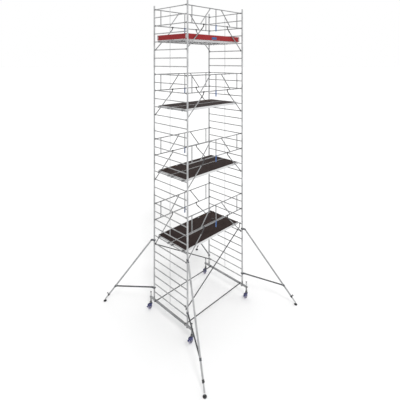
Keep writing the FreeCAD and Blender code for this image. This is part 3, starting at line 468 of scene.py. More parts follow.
spindle_top = spindle_high[2] - 0.015
housing_top = spindle_low[2] + 0.0372
thread = threaded(0.0174, 0.0015, 0.008, housing_top, spindle_top - 0.004)
cap = turned([(0.0175, spindle_top - 0.004), (0.0215, spindle_top - 0.003), (0.0218, spindle_top),
              (0.0218, spindle_top + 0.006), (0.0205, spindle_top + 0.011), (0.0150, spindle_top + 0.0142),
              (0.0060, spindle_top + 0.0150)], 40)
housing = turned([(0.0130, crown_low - 0.0075), (0.0130, crown_low - 0.0005), (0.0080, crown_low - 0.0004),
                  (0.0080, crown_low + 0.0066), (0.0370, crown_low + 0.0066), (0.0398, crown_low + 0.0080),
                  (0.0400, crown_low + 0.0120), (0.0385, crown_low + 0.0125), (0.0385, crown_low + 0.0150),
                  (0.0400, crown_low + 0.0155), (0.0395, crown_low + 0.0220), (0.0330, crown_low + 0.0270),
                  (0.0285, crown_low + 0.0300), (0.0240, crown_low + 0.0306)], 48)
bolts = np.linspace(0, 2 * np.pi, 6, endpoint=False) + np.pi / 6
hexagon = np.stack([np.cos(bolts), np.sin(bolts)], -1)
housing_bolts = placed(carried(hexagon * 0.0045, 0, 0.004, 0.0006),
                       np.column_stack([0.031 * np.cos(bolts), 0.031 * np.sin(bolts),
                                        np.full(6, crown_low + 0.0265)]))

fork_front = 0.038
fork_back = pin[0] - 0.012
leg_corners = [(fork_front, fork_high[2]), (fork_back, fork_high[2]), (fork_back, pin[2] - 0.010),
               (axle[0] - 0.016, axle[2] - 0.014), (axle[0] + 0.016, axle[2] - 0.014),
               (fork_front, crown_low - 0.012)]
leg_corners = np.array(leg_corners)
leg = carried(rounded(leg_corners, 0.014, 6), FORK_INSIDE, FORK_OUTSIDE, 0.0009)
leg_centre = leg_corners.mean(0)
swage = carried(rounded(leg_centre + (leg_corners - leg_centre) * (0.66, 0.60), 0.012, 6),
                FORK_OUTSIDE - 0.0005, FORK_OUTSIDE + 0.0011, 0.0012)
crown_outline = [(fork_front, FORK_OUTSIDE), (-0.062, FORK_OUTSIDE), (-0.062, -FORK_OUTSIDE),
                 (fork_front, -FORK_OUTSIDE)]
crown = carried(rounded(crown_outline, 0.004), crown_low, fork_high[2], 0.0009)
raceway = turned([(0.0090, fork_high[2] + 0.0003), (0.0300, fork_high[2] + 0.0003),
                  (0.0325, fork_high[2] - 0.0020), (0.0090, fork_high[2] - 0.0020)], 48, True)
axle_bolt = turned(mirrored([(0.0045, -0.0385), (0.0055, -0.0375)]), 20)
axle_nut = carried(hexagon * 0.0105, 0.0318, 0.0382, 0.0012)
washer = turned([(0.0062, 0.0306), (0.0115, 0.0306), (0.0115, 0.0320), (0.0062, 0.0320)], 32, True)
pedal_pin = turned(mirrored([(0.0038, -0.0333), (0.0044, -0.0325), (0.0044, -0.0306), (0.0038, -0.0304)]),
                   20)

hub = turned(mirrored([(0.0062, -0.0255), (0.0150, -0.0255), (0.0178, -0.0240), (0.0185, -0.0120),
                       (0.0210, -0.0100), (0.0480, -0.0085), (0.0508, -0.0100), (0.0515, -0.0195),
                       (0.0580, -0.0205)]), 48, True)
spokes = np.linspace(0, 2 * np.pi, 6, endpoint=False)
spoke_turns = np.stack([turn((math.cos(s), math.sin(s), 0), (0, 0, 1)) for s in spokes])
spoke = carried([(0.017, -0.0022), (0.0525, -0.0022), (0.0525, 0.0022), (0.017, 0.0022)], -0.0175, 0.0175,
                0.0010)
crown_angle = np.linspace(-np.pi / 2, np.pi / 2, 17)
tread = np.column_stack([0.058 + 0.017 * np.cos(crown_angle) ** 0.3,
                         0.0225 * np.sign(np.sin(crown_angle)) * np.abs(np.sin(crown_angle)) ** 0.7])
tread[:, 0] = np.minimum(tread[:, 0], WHEEL_RADIUS)
tyre = turned(np.vstack([[(0.0578, -0.0215)], tread[1:-1], [(0.0578, 0.0215)]]), 64, True)

SLOPE = math.radians(35)
lever_down = np.array([-math.cos(SLOPE), 0, -math.sin(SLOPE)])
lever_turn = turn(lever_down, (0, 1, 0))
lever_outline = [(0.0, 0.0055), (0.0, -0.0035), (0.020, -0.0030), (0.044, -0.0030), (0.056, -0.0020),
                 (0.0655, 0.0012), (0.0650, 0.0038), (0.052, 0.0030), (0.020, 0.0030)]
lever = carried(rounded(lever_outline, 0.004), -0.022, 0.022, 0.0015)
foot_pad = carried(rounded([(0.043, -0.0024), (0.0657, 0.0006), (0.0657, 0.0045), (0.043, 0.0036)], 0.002),
                   -0.0248, 0.0248, 0.0015)
pad_bars = placed(carried(oblong(-0.0012, -0.0015, 0.0012, 0.002, 0.0008), -0.0225, 0.0225, 0.0008),
                  [(x, -0.0025 + (x - 0.046) * 0.12, 0) for x in np.linspace(0.046, 0.062, 5)])
boss = turned([(0.0042, -0.022), (0.0070, -0.022), (0.0080, -0.0205), (0.0080, 0.0205), (0.0070, 0.022),
               (0.0042, 0.022)], 28, True)
shoe_run = np.array([axle[0] - pin[0], axle[2] - pin[2]])
shoe_angle = math.atan2(shoe_run[1], shoe_run[0]) - math.radians(22)
shoe_reach = math.hypot(*shoe_run) - WHEEL_RADIUS - 0.0008
shoe = carried(oblong(0, -0.003, shoe_reach, 0.003, 0.0015), -0.018, 0.018, 0.001)
shoe_turn = turn((math.cos(shoe_angle), 0, math.sin(shoe_angle)), (0, -1, 0))


def make_corner(pieces, corner, place, turned_to=np.eye(3)):
    """One corner's copy of each piece, on that corner's own body."""
    for name, (body, shapes, finish, slot, stands_in) in pieces.items():
        node = [body + corner] if stands_in else []
        here = [placed(shape, place, turned_to) for shape in shapes]
        make_piece(name + corner, body + corner, here, finish, node)


def other_side(shape):
    """The mirror image of a shape in the plane Y = 0, its rings run the other way so that it still faces
    outwards."""
    places, grain, closed = shape
    return places[:, :, ::-1] * (1, -1, 1), grain[:, :, ::-1], closed


near_side = [placed(shape, (0, 0, 0), upright) for shape in (leg, swage)]
near_nuts = [placed(shape, axle, upright) for shape in (axle_nut, washer)]
lever_parts = [placed(shape, pin, lever_turn) for shape in (lever, foot_pad, pad_bars)]
lever_parts += [placed(boss, pin, along_y), placed(shoe, pin, shoe_turn)]
wheel_parts = [placed(shape, axle, along_y)
               for shape in (hub, placed(spoke, np.zeros((6, 3)), spoke_turns))]
castor_pieces = {"wing_nut_": ("castor_nut_", [nut_body, nut_collar, placed(wing, (0, 0, 0), upright),
                                               placed(wing, (0, 0, 0), half_turn @ upright)], cast_iron,
                               "castor_nut_iron", True), "spindle_screw_": ("castor_spindle_", [thread],
    spindle_zinc, "zinc_steel", True), "spindle_cap_": ("castor_spindle_", [cap], black_plastic,
                                                        "castor_nut_iron", False),
                 "bearing_housing_": ("castor_spindle_", [housing], housing_coat, "castor_nut_iron", False),
                 "housing_bolts_": ("castor_spindle_", [housing_bolts], spindle_zinc, "zinc_steel", False),
                 "fork_plates_": ("castor_fork_", [crown] + near_side + [other_side(s) for s in near_side],
                                  navy_coat, "castor_blue", True), "fork_bolts_": ("castor_fork_",
    [placed(axle_bolt, axle, along_y), placed(pedal_pin, pin, along_y), raceway] + near_nuts
    + [other_side(s) for s in near_nuts], spindle_zinc, "zinc_steel", False),
                 "wheel_hub_": ("castor_wheel_", wheel_parts, hub_plastic, "castor_tyre", False),
                 "wheel_tyre_": ("castor_wheel_", [placed(tyre, axle, along_y)], tyre_rubber, "castor_tyre",
                                 True), "brake_lever_": ("brake_pedal_", lever_parts, navy_coat,
                                                         "pedal_blue", True)}
for corner, (x_sign, y_sign) in corner_signs.items():
    foot = (x_sign * end_x, y_sign * spindle_y, 0)
    make_corner(castor_pieces, corner, foot)


# End frames: a storey's end is a ladder of two drawn aluminium stiles and eight fluted rungs, with a thin
# strut down the middle, all welded. A swaged spigot at its foot plugs into the frame below, and a sprung
# clip locks each joint.
RUNG_RADIUS = 0.015
STRUT_RADIUS = 0.008
STILE_WALL = 0.0025
SPIGOT = 0.090
RUNG_PITCH = 0.250
CLIP_DROP = 0.060
stile_metal = drawn_aluminium("stile aluminium", (0.30, 0.305, 0.31), (0.58, 0.584, 0.59))
rung_metal = drawn_aluminium("rung aluminium", (0.22, 0.223, 0.227), (0.46, 0.463, 0.467), 18)
# The struts' paler tone is partly their own lighter metal and partly painted light: a lighter copy of the
# frame aluminium stands for the light the thin strut catches.
strut_metal_with_painted_light = drawn_aluminium("strut aluminium with painted light", (0.42, 0.425, 0.43), (0.62, 0.625, 0.63))
clip_steel = zinc_plate("clip steel", (0.45, 0.45, 0.46), (0.22, 0.22, 0.23))


def ladder(x, foot, rungs):
    """Stiles, rungs, struts and weld beads of one frame in the plane x, with its foot at the height
    foot."""
    height = rungs * RUNG_PITCH
    throat = STILE_RADIUS - 2 * STILE_WALL - 0.0003
    wall = [(throat, -SPIGOT), (throat + STILE_WALL, -SPIGOT), (throat + STILE_WALL, -0.002),
            (STILE_RADIUS, 0.0005), (STILE_RADIUS, height), (STILE_RADIUS - STILE_WALL, height),
            (STILE_RADIUS - STILE_WALL, 0.004), (throat, 0)]
    stiles = placed(turned(wall, 32, True), [(x, -stile_y, foot), (x, stile_y, foot)])
    levels = foot + (np.arange(rungs) + 0.5) * RUNG_PITCH
    flat = np.column_stack([np.full(rungs, x), np.zeros(rungs), levels])
    reach = (0, stile_y - 0.0205, 0)
    rung_tubes = tubes(flat - reach, flat + reach, RUNG_RADIUS)
    step = (0, 0, RUNG_RADIUS - 0.0015)
    struts = tubes(flat[:-1] + step, flat[1:] - step, STRUT_RADIUS, around=12)
    rung_bead = bead(RUNG_RADIUS, STILE_RADIUS, 0.0028)
    strut_bead = bead(STRUT_RADIUS, RUNG_RADIUS, 0.0018, 10)
    beads = [placed(rung_bead, flat + (0, stile_y, 0), turn((-1, 0, 0), (0, -1, 0))),
             placed(rung_bead, flat - (0, stile_y, 0), turn((1, 0, 0), (0, 1, 0))),
             placed(strut_bead, flat[:-1], turn((1, 0, 0), (0, 0, 1))),
             placed(strut_bead, flat[1:], turn((1, 0, 0), (0, 0, -1)))]
    return stiles, rung_tubes, struts, beads


clip_band = turned([(0.0252, 0.026), (0.0268, 0.0265), (0.0270, 0.030), (0.0268, 0.0335), (0.0252, 0.034)],
                   32, True)
clip_button = placed(turned([(0.0055, 0), (0.0055, 0.0022), (0.0045, 0.0036), (0.0020, 0.0042)], 16),
                     (0, 0.0248, 0.030), along_y)
clip_lever = placed(carried(rounded([(-0.005, -0.004), (0.005, -0.004), (0.004, 0.026), (-0.004, 0.026)],
                                    0.003), 0, 0.003), (0, 0.0262, 0.030), turn((1, 0, 0), (0, 1, 0)))
for side, x in (("left", -end_x), ("right", end_x)):
    for storey in range(1, 5):
        node = "end_frame_" + side + "_" + str(storey)
        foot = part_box(node)[0][2] + SPIGOT
        stiles, rung_tubes, struts, beads = ladder(x, foot, 8)
        tag = side + "_" + str(storey)
        make_piece("stiles_" + tag, "tower", [stiles], stile_metal, [node])
        make_piece("rungs_" + tag, "tower", [rung_tubes], rung_metal)
        make_piece("struts_" + tag, "tower", [struts], strut_metal_with_painted_light)
        make_piece("frame_welds_" + tag, "tower", beads, beam_metal)
        feet = [(x, -stile_y, foot - CLIP_DROP), (x, stile_y, foot - CLIP_DROP)]
        turns = np.stack([half_turn, np.eye(3)])
        make_piece("joint_clips_" + tag, "tower", [placed(s, feet, turns) for s in (clip_band, clip_button,
            clip_lever)], clip_steel)

top_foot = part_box("top_frames")[0][2] + SPIGOT
left_top, right_top = ladder(-end_x, top_foot, 4), ladder(end_x, top_foot, 4)
make_piece("stiles_top", "tower", [left_top[0], right_top[0]], stile_metal, ["top_frames"])
make_piece("rungs_top", "tower", [left_top[1], right_top[1]], rung_metal)
make_piece("struts_top", "tower", [left_top[2], right_top[2]], strut_metal_with_painted_light)
make_piece("frame_welds_top", "tower", left_top[3] + right_top[3], beam_metal)
top_feet = [(x * end_x, y * stile_y, top_foot - CLIP_DROP) for x, y in corner_signs.values()]
top_turns = np.stack([half_turn if y < 0 else np.eye(3) for x, y in corner_signs.values()])
make_piece("joint_clips_top", "tower", [placed(s, top_feet, top_turns) for s in (clip_band, clip_button,
    clip_lever)], clip_steel)


# Base braces: a level strut and a diagonal on each long side square up the lowest storey. Each is an
# aluminium tube with a cast claw riveted into each end, which drops over a rung or a beam and latches.
TUBE_RADIUS = 0.015
CLAW_WALL = 0.007
CLAW_GAP = 0.0002
CLAW_NECK = 0.060
CLAW_HALF_WIDTH = 0.011
brace_metal = drawn_aluminium("brace aluminium", (0.045, 0.046, 0.049), (0.12, 0.122, 0.126))
claw_casting = powder_coat("blackened casting", (0.030, 0.031, 0.034), (0.30, 0.30, 0.31))


def claw(bar, square_bar=False, half_width=CLAW_HALF_WIDTH):
    """A claw over a bar along Z at the origin: a plate with shouldered top corners, its mouth open towards
    -Y and its seat a half circle, or a square, of the bar's size."""
    grip = bar / 2 + CLAW_GAP
    back = grip + CLAW_WALL
    lip = -0.8 * grip
    outer = [(-back, lip), (-back, 0.6 * back), (-0.6 * back, back), (0.6 * back, back), (back, 0.6 * back),
             (back, lip)]
    outer = rounded(np.array([(-back, lip - 0.02)] + outer[1:-1] + [(back, lip - 0.02)]), 0.007, 5)
    outer = outer[outer[:, 1] > lip]
    a = np.linspace(0, np.pi, 5 if square_bar else 13)
    seat = np.stack([np.cos(a), np.sin(a)], -1) * grip
    if square_bar:
        seat = np.array([(1, 0), (1, 1), (-1, 1), (-1, 0)]) * grip
    outline = np.vstack([[(-back, lip)], outer, [(back, lip), (grip, lip)], seat, [(-grip, lip)]])
    return carried(outline, -half_width, half_width, 0.0016)


def claw_end(bar, direction, square_bar=False, drop=0.0):
    """A claw with the turned neck that leaves it in a direction of the XZ plane, and the latch under its
    mouth."""
    back = bar / 2 + CLAW_GAP + CLAW_WALL
    direction = np.array(direction, float) / np.linalg.norm(direction)
    root = np.array([-back, 0, -drop]) if drop else np.zeros(3)
    begin = 0.004 if drop else back - 0.003
    neck = [(0.0135, begin), (0.0128, begin + 0.006), (0.0125, CLAW_NECK - 0.020),
            (0.0158, CLAW_NECK - 0.016), (0.0162, CLAW_NECK - 0.008), (0.0158, CLAW_NECK),
            (0.0128, CLAW_NECK + 0.0005), (0.0128, CLAW_NECK + 0.003)]
    latch = carried(rounded([(-back, -0.4 * back), (-0.4 * back, -back), (0.55 * back, -0.96 * back),
                             (0.55 * back, -1.10 * back), (-0.5 * back, -1.22 * back),
                             (-1.12 * back, -0.5 * back)], 0.004), -0.003, 0.003, 0.001)
    rivet = turned(mirrored([(0.0028, -0.0128), (0.0040, -0.0120)]), 14)
    parts = [placed(claw(bar, square_bar), (0, 0, 0), upright), placed(latch, (0, 0, 0), upright),
             placed(rivet, (-back * 0.84, 0, back * 0.25), along_y),
             placed(turned(neck, 20), root, turn((0, 1, 0), direction))]
    if drop:
        strap = carried(rounded([(-back - 0.007, 0.6 * back), (-back + 0.004, 0.6 * back),
                                 (-back + 0.004, -drop - 0.014), (-back - 0.007, -drop - 0.010)], 0.004),
                        -CLAW_HALF_WIDTH, CLAW_HALF_WIDTH, 0.0015)
        parts.append(placed(strap, (0, 0, 0), upright))
    return parts


def at(parts, place, flipped=False):
    """Parts moved to a place, turned half round about Z first where flipped."""
    return [placed(part, place, half_turn if flipped else np.eye(3)) for part in parts]


RUNG_BAR = 2 * RUNG_RADIUS
BRACE_INSET = 0.090
STRUT_NECK = CLAW_NECK + 0.040
HUNG = 0.105
brace_y = stile_y - BRACE_INSET
lowest_rung = post_top + RUNG_PITCH / 2
hung_x = end_x - RUNG_RADIUS - CLAW_GAP - CLAW_WALL


def brace_between(low, high, y):
    """A tube between two places of the XZ plane in the plane y, drawn back from both by the claws'
    necks."""
    low, high = np.array([low[0], y, low[1]]), np.array([high[0], y, high[1]])
    along = (high - low) / np.linalg.norm(high - low)
    return tubes(low + along * CLAW_NECK, high - along * CLAW_NECK, TUBE_RADIUS, 0.002, 24), along


front_low = (-hung_x, lowest_rung + RUNG_PITCH - HUNG)
front_high = (hung_x, lowest_rung + 7 * RUNG_PITCH - HUNG)
front_tube, rise = brace_between(front_low, front_high, -brace_y)
rear_low = (end_x, lowest_rung)
rear_high = (-end_x, lowest_rung + 6 * RUNG_PITCH)
rear_tube, climb = brace_between(rear_low, rear_high, brace_y)
strut_reach = end_x - STRUT_NECK
strut_tubes = tubes([(-strut_reach, y, beam_axis) for y in (-brace_y, brace_y)],
                    [(strut_reach, y, beam_axis) for y in (-brace_y, brace_y)], TUBE_RADIUS, 0.002, 24)
make_piece("base_brace_tubes", "tower", [front_tube, rear_tube, strut_tubes], brace_metal,
           ["base_braces"])
brace_claws = at(claw_end(RUNG_BAR, -rise, drop=HUNG), (end_x, -brace_y, front_high[1] + HUNG))
brace_claws += at(claw_end(RUNG_BAR, (-rise[0], 0, rise[2]), drop=HUNG), (-end_x, -brace_y, front_low[1]
    + HUNG), True)
brace_claws += at(claw_end(RUNG_BAR, climb), (end_x, brace_y, rear_low[1]))
brace_claws += at(claw_end(RUNG_BAR, (climb[0], 0, -climb[2])), (-end_x, brace_y, rear_high[1]), True)
for y in (-brace_y, brace_y):
    beam_claw = claw_end(BEAM_SIZE, (-1, 0, 0), True)
    beam_claw.append(placed(turned([(0.0128, CLAW_NECK), (0.0158, CLAW_NECK + 0.002), (0.0158, STRUT_NECK),
                                    (0.0128, STRUT_NECK + 0.002)], 20), (0, 0, 0),
                            turn((0, 1, 0), (-1, 0, 0))))
    brace_claws += at(beam_claw, (end_x, y, beam_axis)) + at(beam_claw, (-end_x, y, beam_axis), True)
make_piece("base_brace_claws", "tower", brace_claws, claw_casting)


# Platforms: each level has two decks side by side, hung by cast hooks on a rung at each end. A deck is a
# frame of extruded aluminium with a sheet of film-faced birch plywood riveted down in it, and the rear
# deck's sheet has a hinged hatch with a let-in pull ring and a turn button.


def film_faced_ply(name, film, worn):
    """Phenolic film on birch plywood: a pressed wire-mesh pattern, scuffs along the deck and dust in the
    film, and pale and dark plies wherever the sheet's edge shows."""
    finish = Finish(name, bend=1.12)
    where = finish.where()
    x, y, z = finish.axes(where)
    mesh = ((x + y) * 560.0).math("SINE") * ((x - y) * 560.0).math("SINE")
    scuffs = finish.noise(where, (2.5, 70, 1), 5).above(0.56, 0.74)
    dust = finish.cloud(5, 5).above(0.38, 0.70)
    tone = mesh.above(-0.2, 0.8) * 0.18 + scuffs * 0.34 + dust * 0.30
    colour = finish.mix(tone, film, worn)
    side_on = 1 - finish.axes(finish.facing())[2].math("ABSOLUTE").above(0.3, 0.8)
    plies = (z * 4200.0).math("SINE").above(-0.3, 0.3)
    edge = finish.mix(plies, (0.10, 0.055, 0.026), (0.26, 0.16, 0.085))
    colour = finish.mix(side_on, colour, edge)
    return finish.paint(colour, 0.6 + scuffs * 0.18 + dust * 0.12 + side_on * 0.2, mesh * 0.5
                        + scuffs * 0.2, 0.0005)


def extruded_aluminium(name, dull, bright, hook_start):
    """Extruded aluminium: die lines along X, oxide clouds and rubbed edges, boot dirt on the faces that
    look up, and darker cast hooks beyond hook_start."""
    finish = Finish(name, metallic=0.5)
    where = finish.where()
    lines = finish.noise(where, (3, 600, 600), 3)
    cloud = finish.cloud(6, 4)
    pits = finish.cloud(380, 3)
    colour = finish.mix(lines * 0.4 + cloud * 0.6, dull, bright)
    colour = finish.mix(finish.edges(0.002) * 0.5, colour, (0.72, 0.72, 0.73))
    cast = finish.axes(where)[0].math("ABSOLUTE").above(hook_start, hook_start + 0.002)
    hook = finish.mix(pits, (0.13, 0.133, 0.138), (0.23, 0.235, 0.24))
    colour = finish.mix(cast, colour, hook)
    dirt = finish.axes(finish.facing())[2].above(0.85, 0.97) * (0.55 + cloud * 0.5)
    colour = finish.mix(dirt, colour, (0.045, 0.034, 0.031))
    return finish.paint(colour, 0.34 + cloud * 0.2 + cast * 0.15, lines * 0.3 + cast * pits, 0.0005)


def dress(node, finish):
    """Gives a CAD node its finish."""
    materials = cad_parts[node].data.materials
    materials.clear()
    materials.append(finish.material)


deck_film = film_faced_ply("deck ply", (0.026, 0.017, 0.016), (0.070, 0.053, 0.048))
hatch_film = film_faced_ply("hatch ply", (0.028, 0.018, 0.017), (0.076, 0.058, 0.052))
deck_end = end_x - 0.050
profile_metal = extruded_aluminium("profile aluminium", (0.50, 0.505, 0.51), (0.76, 0.765, 0.77), deck_end
                                   + 0.001)
DECK_CENTRE = 0.310
DECK_ABOVE_RUNG = 0.040
RIVET_ROW = 0.283
HOOK_OFFSET = 0.225
rivet_head = turned([(0.0050, -0.0005), (0.0048, 0.0008), (0.0034, 0.0018), (0.0014, 0.0022)], 8)
rivet_x = np.linspace(-deck_end + 0.06, deck_end - 0.06, 13)
ring_path = np.linspace(0, 2 * np.pi, 28, endpoint=False)
pull_ring = turned(np.stack([0.024 + 0.0028 * np.cos(ring_path[::2]), 0.0028 * np.sin(ring_path[::2])], -1),
                   32, True)
ring_plate = carried(oblong(-0.034, -0.034, 0.034, 0.034, 0.008), -0.0006, 0.0016, 0.0007)
ring_lug = placed(turned([(0.0048, -0.007), (0.0048, 0.007)], 16), (0, 0.024, 0.0035),
                  turn((0, 1, 0), (1, 0, 0)))
turn_button = carried(oblong(-0.030, -0.009, 0.012, 0.009, 0.007), 0.0004, 0.0050, 0.0014)
wind_latch = carried(rounded([(-0.014, -0.019), (0.006, -0.026), (0.012, -0.024), (0.012, -0.020),
                              (-0.004, -0.018), (-0.012, -0.009)], 0.003), -0.006, 0.006, 0.0012)
deck_finishes = {"platform_frames_": profile_metal, "deck_boards_": deck_film, "hatch_lid_": hatch_film}
for level in range(1, 5):
    tag = str(level)
    for node, finish in deck_finishes.items():
        dress(node + tag, finish)
    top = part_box("deck_boards_" + tag)[1][2]
    lid_low, lid_high = box_of("hatch_lid_" + tag)
    rows = [sign * DECK_CENTRE + side * RIVET_ROW for sign in (-1, 1) for side in (-1, 1)]
    heads = [(x, y, top) for y in rows for x in rivet_x]
    rung = top - DECK_ABOVE_RUNG
    hooks = [(x, y * DECK_CENTRE + offset, rung) for x in (-end_x, end_x) for y in (-1, 1)
             for offset in (-HOOK_OFFSET, HOOK_OFFSET)]
    hook_turns = np.stack([half_turn @ upright if x < 0 else upright for x, _, _ in hooks])
    make_piece("deck_rivets_" + tag, "tower", [placed(rivet_head, heads)], stile_metal)
    make_piece("wind_latches_" + tag, "tower", [placed(wind_latch, hooks, hook_turns)], black_plastic)
    lid_x = (lid_low[0] + lid_high[0]) / 2
    pull = (lid_x, lid_low[1] + 0.075, top)
    make_piece("pull_ring_" + tag, "hatch_lid_" + tag,
               [placed(ring_plate, pull), placed(pull_ring, np.array(pull) + (0, 0, 0.0042)),
                placed(ring_lug, pull)], cast_iron)
    button = (lid_x + 0.16, lid_low[1] + 0.034, top)
    make_piece("turn_button_" + tag, "hatch_lid_" + tag,
               [placed(turn_button, button, turn((0, 1, 0), (0, 0, 1))), placed(rivet_head, np.array(button)
        + (0, 0, 0.005))], black_plastic)


# Guardrails: two rails with welded posts and slanting ties, and a cast claw at each rail end over a rung.
# From a black elbow clamped on the lower rail near each end, a knee brace runs down and out to a claw below
# the deck. A blank blue plate is riveted under the middle of the lower rail.


def bent(path, radii, across, around=20):
    """A round bar along a planar path: place = path + radius (cos a across + sin a (along x across)), where
    along is the path's direction and across the fixed direction square to its plane."""
    path, across = np.array(path, float), np.array(across, float)
    along = np.gradient(path, axis=0)
    along /= np.linalg.norm(along, axis=1, keepdims=True)
    a = np.linspace(0, 2 * np.pi, around, endpoint=False)[None, :, None]
    square_to = np.cross(along, across)[:, None]
    places = path[:, None] + np.array(radii)[:, None, None] * (np.cos(a) * across + np.sin(a) * square_to)
    return places[None], places[None], False


def painted_plate(name, colour, faded):
    """Printed and lacquered plate: fine roller texture, a little fading in patches, and rubbed edges."""
    finish = Finish(name, coat=0.1)
    patches = finish.cloud(22, 4)
    fine = finish.noise(finish.where(), (700, 700, 90), 2)
    colour = finish.mix(patches.above(0.3, 0.75), colour, faded)
    colour = finish.mix(finish.edges(0.0015) * 0.6, colour, (0.55, 0.57, 0.60))
    return finish.paint(colour, 0.26 + patches * 0.15 + fine * 0.08, fine, 0.0001)


rail_metal = drawn_aluminium("rail aluminium", (0.17, 0.173, 0.178), (0.40, 0.404, 0.41))
blue_lacquer = painted_plate("blue lacquer", (0.010, 0.062, 0.22), (0.022, 0.10, 0.28))
RAIL_INSET = 0.050
MID_RAIL = 2 * RUNG_PITCH
TOP_RAIL = 4 * RUNG_PITCH
ELBOW = np.array([0.540, 0, MID_RAIL])
KNEE = np.array([0.620, 0, MID_RAIL - 0.140])
rail_y = stile_y - RAIL_INSET
rail_end = end_x - CLAW_NECK
post_x = end_x - 0.220
brace_foot = np.array([end_x, 0, -RUNG_PITCH])
brace_run = (brace_foot - KNEE) / np.linalg.norm(brace_foot - KNEE)
starts = [(-rail_end, 0, MID_RAIL), (-rail_end, 0, TOP_RAIL), (0, 0, MID_RAIL)]
stops = [(rail_end, 0, MID_RAIL), (rail_end, 0, TOP_RAIL), (0, 0, TOP_RAIL)]
half_starts = np.array([(post_x, 0, MID_RAIL), (0.680, 0, MID_RAIL), KNEE + brace_run * 0.012])
half_stops = np.array([(post_x, 0, TOP_RAIL), (0.250, 0, TOP_RAIL), brace_foot - brace_run * CLAW_NECK])
starts = np.vstack([starts, half_starts, half_starts * (-1, 1, 1)])
stops = np.vstack([stops, half_stops, half_stops * (-1, 1, 1)])
one_rail = [tubes(starts, stops, TUBE_RADIUS, 0.002, 20)]
post_places = np.array([(x, 0, MID_RAIL) for x in (-post_x, 0, post_x)])
post_bead = bead(TUBE_RADIUS - 0.0004, TUBE_RADIUS, 0.0026, 16)
across_rail = turn((0, -1, 0), (0, 0, 1))
one_rail_beads = [placed(post_bead, post_places, across_rail),
                  placed(post_bead, post_places + (0, 0, TOP_RAIL - MID_RAIL), turn((0, 1, 0), (0, 0, -1)))]
sweep = np.linspace(0, 1, 10)[:, None]
elbow_start = ELBOW - (0, 0, 0.010)
bend = elbow_start - (0, 0, 0.055)
elbow_path = (1 - sweep) ** 2 * elbow_start + 2 * sweep * (1 - sweep) * bend + sweep**2 * KNEE
elbow_arm = bent(elbow_path, np.linspace(0.0150, 0.0135, 10), (0, 1, 0))
elbow_ring = turned(mirrored([(0.0152, -0.030), (0.0195, -0.030), (0.0212, -0.027)]), 28, True)
knee_profile = [(0.006, -0.0165), (0.0125, -0.0125), (0.0162, -0.004), (0.0166, 0.004), (0.0162, 0.012),
                (0.0178, 0.016), (0.0182, 0.022), (0.0178, 0.044), (0.0168, 0.046), (0.0153, 0.046)]
clamp_screw = carried(hexagon * 0.0052, 0.019, 0.0245, 0.0008)
half_castings = at(claw_end(RUNG_BAR, -brace_run), brace_foot)
for height in (MID_RAIL, TOP_RAIL):
    half_castings += at(claw_end(RUNG_BAR, (-1, 0, 0)), (end_x, 0, height))
half_castings += [elbow_arm, placed(elbow_ring, ELBOW, turn((0, 1, 0), (1, 0, 0))),
                  placed(turned(knee_profile, 24), KNEE, turn((0, 1, 0), brace_run)),
                  placed(clamp_screw, [ELBOW + (0.016, 0, 0), ELBOW - (0.016, 0, 0)],
                         turn((1, 0, 0), (0, -1, 0)))]
one_rail_castings = half_castings + at(half_castings, (0, 0, 0), True)
plate_low, plate_high = MID_RAIL - TUBE_RADIUS - 0.165, MID_RAIL - TUBE_RADIUS + 0.004
plate = carried(oblong(-0.025, plate_low, 0.025, plate_high, 0.006), -0.002, 0.002, 0.0008)
plate_fold = turned(mirrored([(0.0152, -0.0245), (0.0172, -0.0245)]), 24, True)
one_plate = [placed(plate, (0, 0, 0), upright), placed(plate_fold, (0, 0, MID_RAIL),
                                                       turn((0, 1, 0), (1, 0, 0)))]
plate_rivets = placed(rivet_head, [(0, -0.002, plate_high - 0.022), (0, -0.002, plate_low + 0.014)],
                      turn((1, 0, 0), (0, -1, 0)))
for level in range(1, 5):
    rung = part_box("deck_boards_" + str(level))[1][2] - DECK_ABOVE_RUNG
    sides = [((0, -rail_y, rung), False), ((0, rail_y, rung), True)]
    for name, parts, finish, slot, node in (
        ("guardrail_tubes_", one_rail, rail_metal, "rail_tube", ["guardrails_" + str(level)]),
        ("guardrail_welds_", one_rail_beads, beam_metal, "rail_tube", []),
        ("guardrail_castings_", one_rail_castings, claw_casting, "castor_nut_iron", []),
        ("guardrail_plates_", one_plate, blue_lacquer, "castor_blue", []),
        ("plate_rivets_", [plate_rivets], stile_metal, "rail_tube", []),
    ):
        shapes = [shape for place, flipped in sides for shape in at(parts, place, flipped)]
        make_piece(name + str(level), "tower", shapes, finish, node)


# Toe boards: red painted plywood on edge round the highest platform. Bent steel clips screwed to the ends
# hook the boards together at the corners, and a blank blue plate is screwed to the front board.


def painted_ply(name, colour, faded):
    """Paint on plywood: the grain telling through, a second coat of uneven depth, and knocks down to the
    wood on the edges."""
    finish = Finish(name, bend=1.25)
    where = finish.where()
    grain = finish.noise(where, (3, 3, 160), 5)
    coats = finish.noise(where, (4, 4, 10), 3)
    knocks = finish.edges(0.003) * finish.cloud(70, 4).above(0.55, 0.62)
    colour = finish.mix(grain * 0.35 + coats * 0.5, colour, faded)
    colour = finish.mix(knocks * 0.8, colour, (0.42, 0.28, 0.17))
    return finish.paint(colour, 0.38 + coats * 0.2 + knocks * 0.25, grain - knocks, 0.0005)


